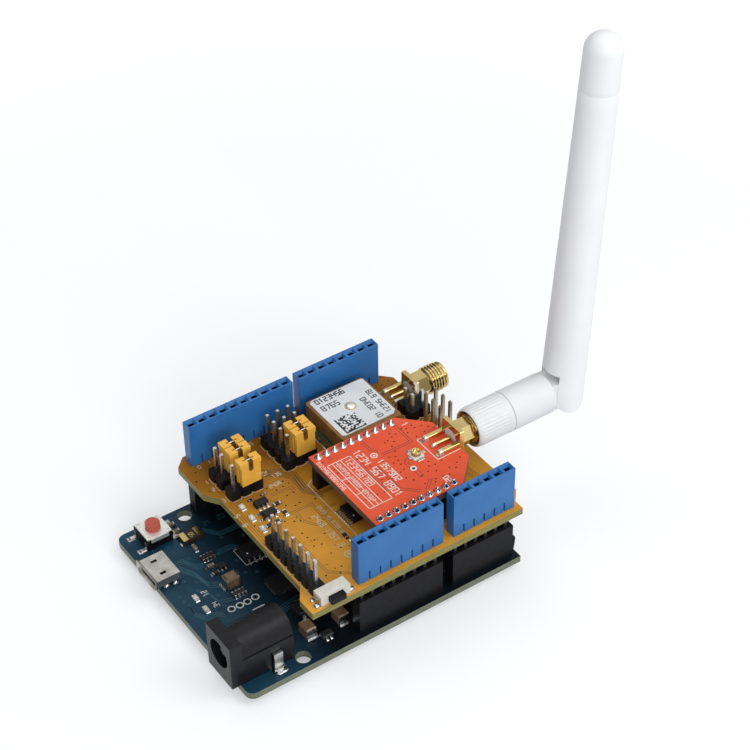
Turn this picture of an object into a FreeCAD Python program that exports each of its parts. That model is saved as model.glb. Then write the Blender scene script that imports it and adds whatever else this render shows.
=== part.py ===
import FreeCAD, Part
import math
import os

os.makedirs("parts", exist_ok=True)

# Everything is laid out with X and Y from the base board's corner and Z from that board's top.
# At the end each shape moves by frame_shift, so Z = 0 is the plane the pin tails stand on.

# Boards
board_t = 1.6
base_len, base_wid = 68.58, 53.34
hole_r = 1.6
board_holes = [(13.97, 2.54), (15.24, 50.8), (66.04, 7.62), (66.04, 35.56)]
shield_under = 12.1
shield_top = shield_under + board_t
radio_top = shield_top + 7.8
radio_under = radio_top - board_t

# Header rows
pitch = 2.54
pin_w = 0.64
pin_gap = 0.13
tail_z = -3.2
socket_h = 8.5
stack_h = 10.7
funnel_w, funnel_h = 1.7, 0.9
near_y, far_y = 2.54, 50.8
near_8_x, near_6_x = 27.94, 50.8
far_10_x, far_8_x = 18.796, 45.72

# Power jack and data socket
jack_x0, jack_x1, jack_step = -1.9, 12.5, 0.85
jack_y0, jack_y1, jack_h = 3.4, 12.2, 11.2
jack_bore_r, jack_pin_r, jack_axis_z = 3.15, 1.0, 6.4
jack_split_z = 6.5
usb_x0, usb_x1 = -0.4, 4.9
usb_y, usb_w, usb_h, usb_t = 38.3, 7.5, 2.7, 0.25

# Press switches
reset_x, reset_y = 6.7, 48.9
reset_w, reset_h, plate_t = 6.0, 2.9, 0.3
button_r, button_top, button_fit = 1.6, 4.3, 0.05
switch_x0, switch_x1 = 17.5, 24.3
switch_y0, switch_y1, switch_h = 0.7, 3.4, 2.3

# Radio board and its two rows of pins on a 2 mm pitch
radio_x0, radio_cut_x, radio_x1 = 34.4, 55.6, 61.35
radio_half, radio_nose = 12.19, 6.28
radio_pitch, radio_pin_w = 2.0, 0.5
radio_row = radio_half - 1.19
radio_pin_x = 36.04
radio_socket_h = 4.3
module_inset, module_len, module_gap = 3.4, 18.0, 1.1
module_t, can_h = 0.8, 2.0
can_inset_x, can_inset_y = 1.5, 0.9

# Satellite receiver
gps_x, gps_w, gps_gap = 51.6, 16.0, 1.03
# Radio board and receiver share the room between the header rows, with this part of the spare in front.
front_share = 0.587
spare = far_y - near_y - pitch - 2 * radio_half - gps_gap - gps_w
radio_y = near_y + pitch / 2 + front_share * spare + radio_half
gps_y = radio_y + radio_half + gps_gap + gps_w / 2
gps_sub_h, gps_patch_h, gps_cover_w, gps_cover_t = 2.3, 4.0, 13.5, 0.15

# Coaxial sockets, lying along X
sma_thread_r, sma_core_r, sma_pin_r, sma_recess = 3.175, 2.2, 0.62, 1.9
sma_flange_t, sma_flange_h = 1.2, 6.4
gps_flange_w, radio_flange_w = 5.2, 6.2
sma_neck, sma_neck_w = 3.1, 5.1
sma_len, sma_leg, sma_leg_w, sma_tail = 8.9, 5.1, 1.0, 4.8
sma_rise = 0.45
gps_edge_x, gps_sma_y = 68.3, 43.45

# Antenna
nut_r, nut_x0, nut_x1 = 4.45, 65.8, 74.9
spigot_r, swivel_fit, swivel_gap = 2.3, 0.05, 0.1
catch_r, catch_t = 2.95, 0.5
elbow_r, elbow_x1 = 4.5, 85.7
hinge_x, hinge_r, hinge_fit = 90.6, 1.0, 0.05
tongue_half, tongue_r, fork_half, ear_r = 2.85, 3.4, 2.9, 4.6
shoulder_z, mast_len, mast_r0, mast_r1, tip_round = 5.0, 83.3, 4.65, 3.85, 1.2
mast_lean = 3.75

frame_shift = FreeCAD.Vector(-48.955, -26.37, -tail_z)


def vec(x, y, z):
    return FreeCAD.Vector(x, y, z)


def box(x0, x1, y0, y1, z0, z1):
    return Part.makeBox(x1 - x0, y1 - y0, z1 - z0, vec(x0, y0, z0))


def block(x, y, sx, sy, z0, z1):
    return box(x - sx / 2, x + sx / 2, y - sy / 2, y + sy / 2, z0, z1)


def cyl(x, y, z0, z1, r):
    return Part.makeCylinder(r, z1 - z0, vec(x, y, z0))


def cyl_x(y, z, x0, x1, r):
    return Part.makeCylinder(r, x1 - x0, vec(x0, y, z), vec(1, 0, 0))


def cyl_y(x, z, y0, y1, r):
    return Part.makeCylinder(r, y1 - y0, vec(x, y0, z), vec(0, 1, 0))


def face_of(points):
    return Part.Face(Part.makePolygon(points + [points[0]]))


def plan(points, z0, z1):
    return face_of([vec(x, y, z0) for x, y in points]).extrude(vec(0, 0, z1 - z0))


def along_x(points, x0, x1):
    return face_of([vec(x0, y, z) for y, z in points]).extrude(vec(x1 - x0, 0, 0))


def along_y(points, y0, y1):
    return face_of([vec(x, y0, z) for x, z in points]).extrude(vec(0, y1 - y0, 0))


def skin(loops):
    """A solid with flat faces between matching loops of points, closed at both ends."""
    faces = [face_of(loops[0]), face_of(loops[-1])]
    for low, high in zip(loops, loops[1:]):
        n = len(low)
        faces += [face_of([low[i], low[(i + 1) % n], high[(i + 1) % n], high[i]]) for i in range(n)]
    return Part.makeSolid(Part.makeShell(faces))


def square(x, y, w, z):
    h = w / 2
    return [vec(x - h, y - h, z), vec(x + h, y - h, z), vec(x + h, y + h, z), vec(x - h, y + h, z)]


def pointed_pin(x, y, w, z0, z1, taper=0.5):
    return skin([square(x, y, w, z0), square(x, y, w, z1 - taper), square(x, y, w * 0.45, z1)])


def ngon(a, b, r, n):
    """Corners of a regular polygon whose flats lie at r from its centre."""
    out = r / math.cos(math.pi / n)
    return [(a + out * math.cos(math.pi * (2 * i + 1) / n), b + out * math.sin(math.pi * (2 * i + 1) / n))
            for i in range(n)]


def cut(shape, tools):
    return shape.cut(tools)


parts = {}


def keep(name, shapes):
    parts[name] = shapes if isinstance(shapes, list) else [shapes]


def row(x0, n, y, step=pitch):
    return [(x0 + step * i, y) for i in range(n)]


def grid(xs, ys):
    return [(x, y) for x in xs for y in ys]


near_8, near_6 = row(near_8_x, 8, near_y), row(near_6_x, 6, near_y)
far_10, far_8 = row(far_10_x, 10, far_y), row(far_8_x, 8, far_y)
edge_pins = near_8 + near_6 + far_10 + far_8
isp_at = grid([63.63, 66.17], [25.27, 27.81, 30.35])


# Base board
base_line = [(1.8, 0), (66.04, 0), (66.04, 2.54), (68.58, 5.08), (68.58, 37.846), (66.04, 40.386),
             (66.04, 51.816), (64.516, 53.34), (1.8, 53.34)]
base_line += [(1.8 - 1.8 * math.sin(math.radians(a)), 51.54 + 1.8 * math.cos(math.radians(a)))
              for a in (22.5, 45, 67.5, 90)]
base_line += [(1.8 - 1.8 * math.cos(math.radians(a)), 1.8 - 1.8 * math.sin(math.radians(a)))
              for a in (0, 22.5, 45, 67.5)]
board_hole_w = pin_w + 2 * pin_gap
base = plan(base_line, -board_t, 0)
base = cut(base, [cyl(x, y, -2, 1, hole_r) for x, y in board_holes])
base = cut(base, [block(x, y, board_hole_w, board_hole_w, -2, 1) for x, y in edge_pins])
side_tab = (7.5, 9.5, 2.7, 3.1)
rear_tab = (jack_x1, jack_x1 + 0.4, 6.4, 9.2)
base = cut(base, [box(side_tab[0] - 0.2, side_tab[1] + 0.2, side_tab[2] - 0.2, side_tab[3] + 0.2, -2, 1),
                  box(rear_tab[0] - 0.2, rear_tab[1] + 0.2, rear_tab[2] - 0.2, rear_tab[3] + 0.2, -2, 1)])
keep("base_board", base)


# Female header sockets
def socket_body(cells, z0, z1):
    xs = [x for x, _ in cells]
    ys = [y for _, y in cells]
    body = box(min(xs) - pitch / 2, max(xs) + pitch / 2, min(ys) - pitch / 2, max(ys) + pitch / 2, z0, z1)
    return cut(body, [block(x, y, pin_w, pin_w, z0 - 1, z1 + 1) for x, y in cells])


def slotted(cells, step, width, z0, z1, floor=0):
    """A strip around a straight row of pins, with one slot that all of them stand in."""
    x0, x1, y = cells[0][0], cells[-1][0], cells[0][1]
    body = box(x0 - step / 2, x1 + step / 2, y - step / 2, y + step / 2, z0, z1)
    return cut(body, [box(x0 - step / 5, x1 + step / 5, y - width / 2, y + width / 2, z0 + floor, z1 + 1)])


keep("base_socket_10", slotted(far_10, pitch, pin_w, 0, socket_h))
keep("base_socket_8", [slotted(c, pitch, pin_w, 0, socket_h) for c in (near_8, far_8)])
keep("base_socket_6", slotted(near_6, pitch, pin_w, 0, socket_h))
contact_top = 2.6
keep("base_socket_contacts", [block(x, y, pin_w, pin_w, tail_z, contact_top) for x, y in edge_pins])

# Programming header of the base board and the stacking socket that sits over it
isp_top = 8.6
isp_strip = 2.5
keep("base_isp_header", block(64.9, 27.81, 2 * pitch, 3 * pitch, 0, isp_strip))
keep("base_isp_pins", [block(x, y, pin_w, pin_w, isp_strip, isp_top) for x, y in isp_at])
isp_socket = block(64.9, 27.81, 2 * pitch, 3 * pitch, shield_under - socket_h, shield_under)
isp_slots = [block(64.9, y, pitch + 1, pin_w, 0, 20) for y in (25.27, 27.81, 30.35)]
keep("isp_stack_socket", cut(isp_socket, isp_slots))
keep("isp_stack_pins", [pointed_pin(x, y, pin_w, isp_top, shield_top + 11.0) for x, y in isp_at])


# Power jack: a full-height front block, a half-round barrel on a lower box behind it
jack_mid = (jack_y0 + jack_y1) / 2
barrel_r = (jack_y1 - jack_y0) / 2 - 0.2
front = box(jack_x0, jack_step, jack_y0, jack_y1, 0, jack_h)
rear = box(jack_step, jack_x1, jack_y0, jack_y1, 0, jack_split_z)
barrel = cut(cyl_x(jack_mid, jack_split_z, jack_step, jack_x1, barrel_r),
             [box(0, 14, 0, 14, -1, jack_split_z)])
jack = front.fuse([rear, barrel]).removeSplitter()
jack = cut(jack, [cyl_x(jack_mid, jack_axis_z, jack_x0 - 1, jack_x1 - 2.2, jack_bore_r),
                  box(side_tab[0] - 0.3, side_tab[1] + 0.3, jack_y0 - 1, jack_y0 + 0.5, -1, 4.6)])
keep("dc_jack_housing", jack)
pin_end = jack_x1 - 2.2
keep("dc_jack_pin", along_x(ngon(jack_mid, jack_axis_z, jack_pin_r, 16), jack_x0 + 1.0, pin_end))
side = along_x([(side_tab[2], -2.7), (side_tab[3], -2.7), (side_tab[3], 4.0), (jack_y0 + 0.5, 4.0),
                (jack_y0 + 0.5, 4.4), (side_tab[2], 4.4)], side_tab[0], side_tab[1])
back = box(rear_tab[0], rear_tab[1], rear_tab[2], rear_tab[3], -2.7, 5.2)
keep("dc_jack_tabs", [side, back])


# Data socket: a folded shell with a flared mouth, and the plastic tongue inside
def usb_loop(grow, x):
    h, z0, z1 = usb_w / 2 + grow, max(-grow, 0.0), usb_h + grow
    pts = [(-h + 0.9, z0), (h - 0.9, z0), (h, z0 + 0.9), (h, z1), (-h, z1), (-h, z0 + 0.9)]
    return [vec(x, usb_y + y, z) for y, z in pts]


outer = face_of(usb_loop(0, usb_x0)).extrude(vec(usb_x1 - usb_x0, 0, 0))
inner = face_of(usb_loop(-usb_t, usb_x0 - 1)).extrude(vec(usb_x1 - usb_x0 + 1 - usb_t, 0, 0))


def closed(points):
    return Part.makePolygon(points + [points[0]])


flare_out = Part.makeLoft([closed(usb_loop(0, usb_x0)), closed(usb_loop(0.35, usb_x0 - 0.6))], True, True)
flare_in = Part.makeLoft([closed(usb_loop(-usb_t, usb_x0)), closed(usb_loop(0.15, usb_x0 - 0.6))], True, True)
shell = cut(outer, [inner]).fuse(cut(flare_out, [flare_in])).removeSplitter()
slots = [box(1.2, 2.6, usb_y - 2.3, usb_y - 1.6, 2, 4), box(1.2, 2.6, usb_y + 1.6, usb_y + 2.3, 2, 4)]
keep("usb_shell", cut(shell, slots))
keep("usb_tongue", box(0.6, usb_x1 - usb_t, usb_y - 2.6, usb_y + 2.6, usb_t, 1.0).fuse(
    box(usb_x1 - usb_t - 1.5, usb_x1 - usb_t, usb_y - 2.6, usb_y + 2.6, usb_t, 2.2)).removeSplitter())


# Reset switch: base, cover plate, plunger with a collar held under the plate, four legs
collar_r, collar_t, press = button_r + 0.6, 0.7, 0.25
cavity_z = reset_h - plate_t - collar_t - press - 0.05
body = block(reset_x, reset_y, reset_w, reset_w, 0, reset_h - plate_t)
body = cut(body, [plan(ngon(reset_x, reset_y, collar_r + button_fit, 8), cavity_z, reset_h)])
keep("reset_switch_body", body)
plate = block(reset_x, reset_y, reset_w - 0.2, reset_w - 0.2, reset_h - plate_t, reset_h)
keep("reset_switch_plate", cut(plate, [cyl(reset_x, reset_y, 0, 5, button_r + button_fit)]))
collar_top = reset_h - plate_t
collar = plan(ngon(reset_x, reset_y, collar_r, 8), collar_top - collar_t, collar_top)
keep("reset_button", cyl(reset_x, reset_y, collar_top, button_top, button_r).fuse(collar).removeSplitter())
legs = []
for sx in (-1, 1):
    for sy in (-1, 1):
        lx, ly = reset_x + sx * 3.0, reset_y + sy * 2.25
        leg = [(lx, 0.0), (lx + sx * 1.4, 0.0), (lx + sx * 1.4, 0.2), (lx + sx * 0.2, 0.2),
               (lx + sx * 0.2, 1.6), (lx, 1.6)]
        legs.append(along_y(leg, ly - 0.35, ly + 0.35))
keep("reset_switch_legs", legs)


# Small parts of the base board: x, y, size in x, size in y, height
fuse_x0, fuse_x1, fuse_y0, fuse_y1, fuse_h = 10.6, 15.3, 42.8, 45.7, 1.2
keep("base_fuse", [box(fuse_x0 + 0.7, fuse_x1 - 0.7, fuse_y0, fuse_y1, 0, fuse_h),
                   box(fuse_x0, fuse_x0 + 0.7, fuse_y0, fuse_y1, 0, fuse_h + 0.1),
                   box(fuse_x1 - 0.7, fuse_x1, fuse_y0, fuse_y1, 0, fuse_h + 0.1)])


def chips(items, z):
    return [block(x, y, sx, sy, z, z + h) for x, y, sx, sy, h in items]


keep("base_capacitors", chips([
    (11.9, 40.9, 0.8, 1.6, 0.8), (11.9, 34.4, 1.6, 0.8, 0.8), (11.26, 49.67, 1.6, 0.8, 0.8),
    (11.2, 47.4, 1.6, 0.8, 0.8), (12.84, 27.85, 3.2, 2.5, 2.5), (18.2, 7.5, 2.5, 3.2, 2.5),
    (25.6, 7.0, 2.5, 3.2, 2.5), (33.0, 22.0, 0.8, 1.6, 0.8), (52.0, 30.0, 0.8, 1.6, 0.8)], 0))
keep("base_resistors", chips([
    (12.8, 37.25, 3.2, 1.6, 0.55), (12.76, 24.6, 3.2, 1.6, 0.55), (11.8, 32.2, 1.6, 0.8, 0.45),
    (30.0, 12.0, 0.8, 1.6, 0.45), (32.0, 12.0, 0.8, 1.6, 0.45), (55.0, 20.0, 1.6, 0.8, 0.45),
    (13.8, 33.2, 1.8, 1.3, 0.9), (20.8, 4.6, 2.6, 1.6, 1.0)], 0))
keep("base_mcu", block(44.0, 26.0, 9.0, 9.0, 0, 1.2))


keep("base_ics", chips([(21.0, 33.2, 4.9, 3.9, 1.5), (21.0, 22.0, 5.0, 5.0, 0.9)], 0))
keep("base_regulator", [block(22.0, 13.0, 6.5, 3.5, 0, 1.7), block(22.0, 15.4, 3.0, 1.3, 0, 0.4),
                        block(19.7, 10.75, 0.7, 1.0, 0, 0.4), block(22.0, 10.75, 0.7, 1.0, 0, 0.4),
                        block(24.3, 10.75, 0.7, 1.0, 0, 0.4)])


# Shield board
shield_line = [(15.0, 0), (66.04, 0), (66.04, 2.54), (68.3, 5.08), (68.3, 49.0), (64.2, 53.34), (17.4, 53.34),
               (15.0, 51.0), (15.0, 41.0), (17.2, 37.8), (17.0, 7.5), (15.0, 4.5)]
block_a = grid([20.0, 22.54, 25.08], [43.44, 40.9]) + row(20.0, 3, 36.9)
block_b = grid([34.1, 36.64, 39.18], [38.2, 40.74, 43.28, 45.82])
serial_at = [(18.91, 19.97 - pitch * i) for i in range(7)]
quad_at = grid([64.05, 66.59], [35.85, 38.39])
shield = plan(shield_line, shield_under, shield_top)
shield = cut(shield, [block(x, y, board_hole_w, board_hole_w, shield_under - 1, shield_top + 1)
                      for x, y in edge_pins + isp_at])
keep("shield_board", shield)


# Stacking headers with a funnel mouth over each passage
def stack_body(cells):
    z0, z1 = shield_top, shield_top + stack_h
    solid = socket_body(cells, z0, z1)
    tools = [skin([square(x, y, pin_w, z1 - funnel_h), square(x, y, funnel_w, z1)]) for x, y in cells]
    return cut(solid, tools)


keep("stack_header_10", stack_body(far_10))
keep("stack_header_8", [stack_body(near_8), stack_body(far_8)])
keep("stack_header_6", stack_body(near_6))
keep("stack_header_pins", [block(x, y, pin_w, pin_w, contact_top, shield_top + 3.0) for x, y in edge_pins])


# Male pin headers with notched black strips
def notched(cells, z0, z1):
    xs = sorted({round(x, 3) for x, _ in cells})
    ys = sorted({round(y, 3) for _, y in cells})
    h, c = pitch / 2, 0.45
    tools = []
    for x in xs[:-1]:
        for y, s in ((ys[0] - h, 1), (ys[-1] + h, -1)):
            tools.append(plan([(x + h - c, y), (x + h, y + s * c), (x + h + c, y)], z0 - 1, z1 + 1))
    for y in ys[:-1]:
        for x, s in ((xs[0] - h, 1), (xs[-1] + h, -1)):
            tools.append(plan([(x, y + h - c), (x + s * c, y + h), (x, y + h + c)], z0 - 1, z1 + 1))
    body = box(xs[0] - h, xs[-1] + h, ys[0] - h, ys[-1] + h, z0, z1)
    return cut(body, tools)


strip_h = 2.5
strip_top = shield_top + strip_h
header_groups = [block_a[:6], block_a[6:], block_b, quad_at]
keep("jumper_headers", [notched(cells, shield_top, strip_top) for cells in header_groups])
keep("serial_header", notched(serial_at, shield_top, strip_top))
caps_at = [(23.81, 43.44), (23.81, 40.9), (23.81, 36.9), (37.91, 38.2), (37.91, 40.74)]
cap_len, cap_wid, cap_h, cap_fit = 5.0, 2.4, 6.0, 0.05
cap_top = strip_top + cap_h
capped_top = cap_top - 1.5
capped = [(x + s * pitch / 2, y) for x, y in caps_at for s in (-1, 1)]
pins = []
for x, y in block_a + block_b + serial_at:
    under_cap = any(abs(x - cx) + abs(y - cy) < 0.01 for cx, cy in capped)
    pins.append(block(x, y, pin_w, pin_w, strip_top, capped_top if under_cap else shield_top + 8.6))
pins += [block(x, y, pin_w, pin_w, strip_top, shield_top + 6.4) for x, y in quad_at]
keep("header_pins", pins)

# Jumper caps: each bridges two pins, with a channel over its top and a spring strip across the channel
channel_w, channel_d = 1.12, 2.5
slit_l, slit_d, strip_t = 2.6, 1.3, 0.2
caps, clips = [], []
for x, y in caps_at:
    tools = [box(x - channel_w / 2, x + channel_w / 2, y - 2, y + 2, cap_top - channel_d, cap_top + 1),
             block(x, y, slit_l, strip_t, cap_top - slit_d, cap_top + 1)]
    for s in (-1, 1):
        pocket = pin_w + 2 * cap_fit
        tools.append(block(x + s * pitch / 2, y, pocket, pocket, strip_top - 1, capped_top + cap_fit))
    caps.append(cut(block(x, y, cap_len, cap_wid, strip_top, cap_top), tools))
    clips.append(block(x, y, slit_l, strip_t, cap_top - slit_d, cap_top - 0.35))
keep("jumper_caps", caps)
keep("jumper_clips", clips)


# Side-pressed switch on the shield's near edge
sw_mid = (switch_x0 + switch_x1) / 2
sw_z = shield_top
plunger = (sw_mid - 1.65, sw_mid + 1.65, sw_z + 0.45, sw_z + 1.85)
body = box(switch_x0, switch_x1, switch_y0, switch_y1, sw_z, sw_z + switch_h)
fit = 0.05
body = cut(body, [box(plunger[0] - fit, plunger[1] + fit, switch_y0 - 1, switch_y0 + 0.5,
                      plunger[2] - fit, plunger[3] + fit),
                  box(plunger[0] - 0.55, plunger[1] + 0.55, switch_y0 + 0.5, switch_y0 + 1.6,
                      plunger[2] - fit, plunger[3] + fit)])
keep("shield_switch_body", body)
keep("shield_switch_button", box(plunger[0], plunger[1], -0.6, switch_y0 + 1.0, plunger[2], plunger[3]).fuse(
    box(plunger[0] - 0.5, plunger[1] + 0.5, switch_y0 + 0.5, switch_y0 + 1.0, plunger[2], plunger[3])
).removeSplitter())
switch_legs = [(switch_x0 - 1.0, switch_x0), (switch_x1, switch_x1 + 1.0)]
keep("shield_switch_legs", [box(x0, x1, switch_y0 + 0.3, switch_y0 + 1.1, sw_z, sw_z + 0.35)
                            for x0, x1 in switch_legs])

# Small parts of the shield
keep("shield_ics", chips([
    (37.6, 18.6, 4.4, 5.0, 1.1), (23.2, 31.7, 2.9, 1.6, 1.1), (23.0, 28.2, 2.9, 1.6, 1.1)], sw_z))
keep("shield_resistors", chips([
    (25.9, 29.9, 1.6, 0.8, 0.45), (21.2, 25.4, 1.6, 0.8, 0.45), (23.2, 25.4, 1.6, 0.8, 0.45),
    (25.9, 26.7, 0.8, 1.6, 0.45), (32.1, 14.2, 0.8, 1.6, 0.45), (41.0, 12.5, 1.6, 0.8, 0.45),
    (56.0, radio_y + 7.47, 1.6, 0.8, 0.45), (gps_x + gps_w / 2 + 1.7, gps_y + 4.75, 1.6, 0.8, 0.45)], sw_z))
base_leds = chips([(4.73, 28.5, 1.0, 1.8, 0.8), (4.86, 24.6, 1.0, 1.8, 0.8)], 0)
shield_leds = chips([(x, y, 1.0, 1.8, 0.8) for x, y in ((19.56, 33.18), (19.53, 29.29), (19.7, 25.34))], sw_z)
keep("leds", base_leds + shield_leds)


# Satellite receiver
g0 = shield_top
keep("gps_substrate", block(gps_x, gps_y, gps_w, gps_w, g0, g0 + gps_sub_h))
keep("gps_patch", block(gps_x, gps_y, gps_w - 0.8, gps_w - 0.8, g0 + gps_sub_h, g0 + gps_sub_h + gps_patch_h))
g2 = g0 + gps_sub_h + gps_patch_h
keep("gps_cover", block(gps_x, gps_y, gps_cover_w, gps_cover_w, g2, g2 + gps_cover_t))


# Coaxial sockets
def sma(x, y, top, wide):
    z = top + sma_rise
    end, neck = x + sma_len, x + sma_flange_t + sma_neck
    shape = box(x, x + sma_flange_t, y - wide / 2, y + wide / 2, z - sma_flange_h / 2, z + sma_flange_h / 2)
    out = sma_neck_w / 2 / math.cos(math.pi / 6)
    corners = [math.radians(a) for a in range(0, 360, 60)]
    hexagon = [(y + out * math.cos(a), z + out * math.sin(a)) for a in corners]
    shape = shape.fuse([along_x(hexagon, x + sma_flange_t, neck), cyl_x(y, z, neck, end, sma_thread_r)])
    for s in (-1, 1):
        y0 = y + s * (wide - sma_leg_w) / 2 - sma_leg_w / 2
        for z0 in (top, top - board_t - sma_leg_w):
            shape = shape.fuse(box(x - sma_leg, x, y0, y0 + sma_leg_w, z0, z0 + sma_leg_w))
    bore = ngon(y, z, sma_core_r, 24)
    shape = cut(shape.removeSplitter(), [along_x(bore, x - 1, end + 1)])
    core = cut(along_x(bore, x, end - sma_recess), [along_x(ngon(y, z, sma_pin_r, 8), x - 1, end)])
    pin = along_x(ngon(y, z, sma_pin_r, 8), x, end - sma_recess + 1.0).fuse(
        box(x - sma_tail, x, y - 0.4, y + 0.4, top, top + 2 * sma_rise)).removeSplitter()
    return shape, core, pin


sets = [sma(gps_edge_x, gps_sma_y, shield_top, gps_flange_w),
        sma(radio_x1, radio_y, radio_top, radio_flange_w)]
keep("sma_bodies", [s[0] for s in sets])
keep("sma_insulators", [s[1] for s in sets])
keep("sma_contacts", [s[2] for s in sets])


# Radio board, its pin strips and sockets
radio_line = [(radio_x0, radio_y - radio_half), (radio_cut_x, radio_y - radio_half),
              (radio_x1, radio_y - radio_nose), (radio_x1, radio_y + radio_nose),
              (radio_cut_x, radio_y + radio_half), (radio_x0, radio_y + radio_half)]
radio_rows = [row(radio_pin_x, 10, radio_y + s * radio_row, radio_pitch) for s in (-1, 1)]
radio_cells = radio_rows[0] + radio_rows[1]
radio_holes = [block(x, y, 0.8, 0.8, radio_under - 1, radio_top + 1) for x, y in radio_cells]
keep("radio_board", cut(plan(radio_line, radio_under, radio_top), radio_holes))

strip_z = shield_top + radio_socket_h
keep("radio_sockets", [slotted(c, radio_pitch, radio_pin_w, shield_top, strip_z, 0.6) for c in radio_rows])
keep("radio_pin_strips", [slotted(c, radio_pitch, radio_pin_w, strip_z, radio_under) for c in radio_rows])
keep("radio_pins", [block(x, y, radio_pin_w, radio_pin_w, shield_top + 1.2, radio_top + 0.6)
                    for x, y in radio_cells])

module_x0 = radio_x0 + module_inset
module_x1 = module_x0 + module_len
module_half = radio_row - radio_pitch / 2 - module_gap
module_under = radio_under - module_t
keep("rf_module_board", box(module_x0, module_x1, radio_y - module_half, radio_y + module_half,
                            module_under, radio_under))
can_half = module_half - can_inset_y
keep("rf_module_can", box(module_x0 + can_inset_x, module_x1 - can_inset_x, radio_y - can_half,
                          radio_y + can_half, module_under - can_h, module_under))
ufl_x, ufl_y = 52.6, radio_y
ufl = block(ufl_x, ufl_y, 2.6, 2.6, radio_top, radio_top + 0.4)
ring = cut(plan(ngon(ufl_x, ufl_y, 1.0, 12), radio_top + 0.4, radio_top + 1.25),
           [plan(ngon(ufl_x, ufl_y, 0.75, 12), radio_top, radio_top + 5)])
keep("coax_socket", [ufl, ring, block(ufl_x, ufl_y, 0.4, 0.4, radio_top + 0.4, radio_top + 1.0)])


# Antenna: a fluted nut screwed on the socket, an elbow held captive in it, a mast hinged on the elbow
axis_z = radio_top + sma_rise
sma_end = radio_x1 + sma_len
wall_x = sma_end + 1.0
nut = along_x(ngon(radio_y, axis_z, nut_r, 24), nut_x0, nut_x1)
nut = cut(nut, [cyl_x(radio_y, axis_z, nut_x0 - 1, wall_x, sma_thread_r),
                cyl_x(radio_y, axis_z, wall_x - 1, nut_x1 + 1, spigot_r + swivel_fit)])
keep("antenna_nut", nut)

elbow = cyl_x(radio_y, axis_z, nut_x1 + swivel_gap, elbow_x1, elbow_r)
side0, side1 = radio_y - tongue_half, radio_y + tongue_half
tongue = cyl_y(hinge_x, axis_z, side0, side1, tongue_r).fuse(
    box(elbow_x1, hinge_x, side0, side1, axis_z - tongue_r, axis_z + tongue_r))
spigot = cyl_x(radio_y, axis_z, wall_x - swivel_gap, nut_x1 + swivel_gap, spigot_r)
catch = along_x(ngon(radio_y, axis_z, catch_r, 12), wall_x - swivel_gap - catch_t, wall_x - swivel_gap)
elbow = elbow.fuse([tongue, spigot, catch]).removeSplitter()
elbow = cut(elbow, [cyl_y(hinge_x, axis_z, 0, 40, hinge_r + hinge_fit)])
keep("antenna_elbow", elbow)


def lean(shape):
    shape.rotate(vec(hinge_x, radio_y, axis_z), vec(0, 1, 0), mast_lean)
    return shape


def ring(r, z):
    return [vec(a, b, z) for a, b in ngon(hinge_x, radio_y, r, 40)]


foot_z, tip_z = axis_z + shoulder_z, axis_z + mast_len
mast = skin([ring(mast_r0 - 0.05, foot_z), ring(mast_r1, tip_z - tip_round),
             ring(mast_r1 - tip_round, tip_z)])
ears = cyl_y(hinge_x, axis_z, radio_y - 6, radio_y + 6, ear_r).fuse(
    box(hinge_x - ear_r, hinge_x + ear_r, radio_y - 6, radio_y + 6, axis_z, foot_z))
ears = ears.common(cyl(hinge_x, radio_y, axis_z - 8, foot_z, mast_r0))
fork0, fork1 = radio_y - fork_half, radio_y + fork_half
ears = cut(ears, [box(hinge_x - 8, hinge_x + 8, fork0, fork1, axis_z - 8, foot_z)])
mast = mast.fuse(ears).removeSplitter()
keep("antenna_mast", lean(mast))
keep("antenna_hinge_pin", lean(cyl_y(hinge_x, axis_z, fork0, fork1, hinge_r)))


whole = FreeCAD.BoundBox()
for name in sorted(parts):
    for solid in parts[name]:
        solid.translate(frame_shift)
    shape = parts[name][0] if len(parts[name]) == 1 else Part.makeCompound(parts[name])
    if not shape.isValid() or any(len(s.Solids) != 1 for s in parts[name]):
        print("CHECK", name, shape.isValid(), [len(s.Solids) for s in parts[name]])
    shape.exportStep(f"parts/{name}.step")
    whole.add(shape.BoundBox)
print(len(parts), "nodes", whole)
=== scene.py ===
import math
import random
import bmesh
import bpy
from mathutils import Matrix, Vector


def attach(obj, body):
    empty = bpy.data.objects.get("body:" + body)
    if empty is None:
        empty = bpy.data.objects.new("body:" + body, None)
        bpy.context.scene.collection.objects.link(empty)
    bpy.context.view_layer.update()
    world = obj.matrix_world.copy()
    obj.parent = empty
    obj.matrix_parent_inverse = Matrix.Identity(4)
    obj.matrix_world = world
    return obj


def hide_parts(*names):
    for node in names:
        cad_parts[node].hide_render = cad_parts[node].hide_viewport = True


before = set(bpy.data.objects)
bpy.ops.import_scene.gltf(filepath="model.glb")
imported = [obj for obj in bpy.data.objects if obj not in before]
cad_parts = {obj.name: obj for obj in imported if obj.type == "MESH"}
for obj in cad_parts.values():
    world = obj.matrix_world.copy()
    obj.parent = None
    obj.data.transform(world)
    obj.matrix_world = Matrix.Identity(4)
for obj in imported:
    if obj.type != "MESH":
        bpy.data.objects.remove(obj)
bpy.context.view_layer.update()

# Lengths are millimetres in the boards' own layout: X and Y from the base board's corner, Z from its top.
MM = 0.001
SHIFT = Vector((-48.955, -26.37, 3.2))
ROOT, ARM, MAST = "board_stack", "antenna_arm", "antenna_mast"

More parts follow.
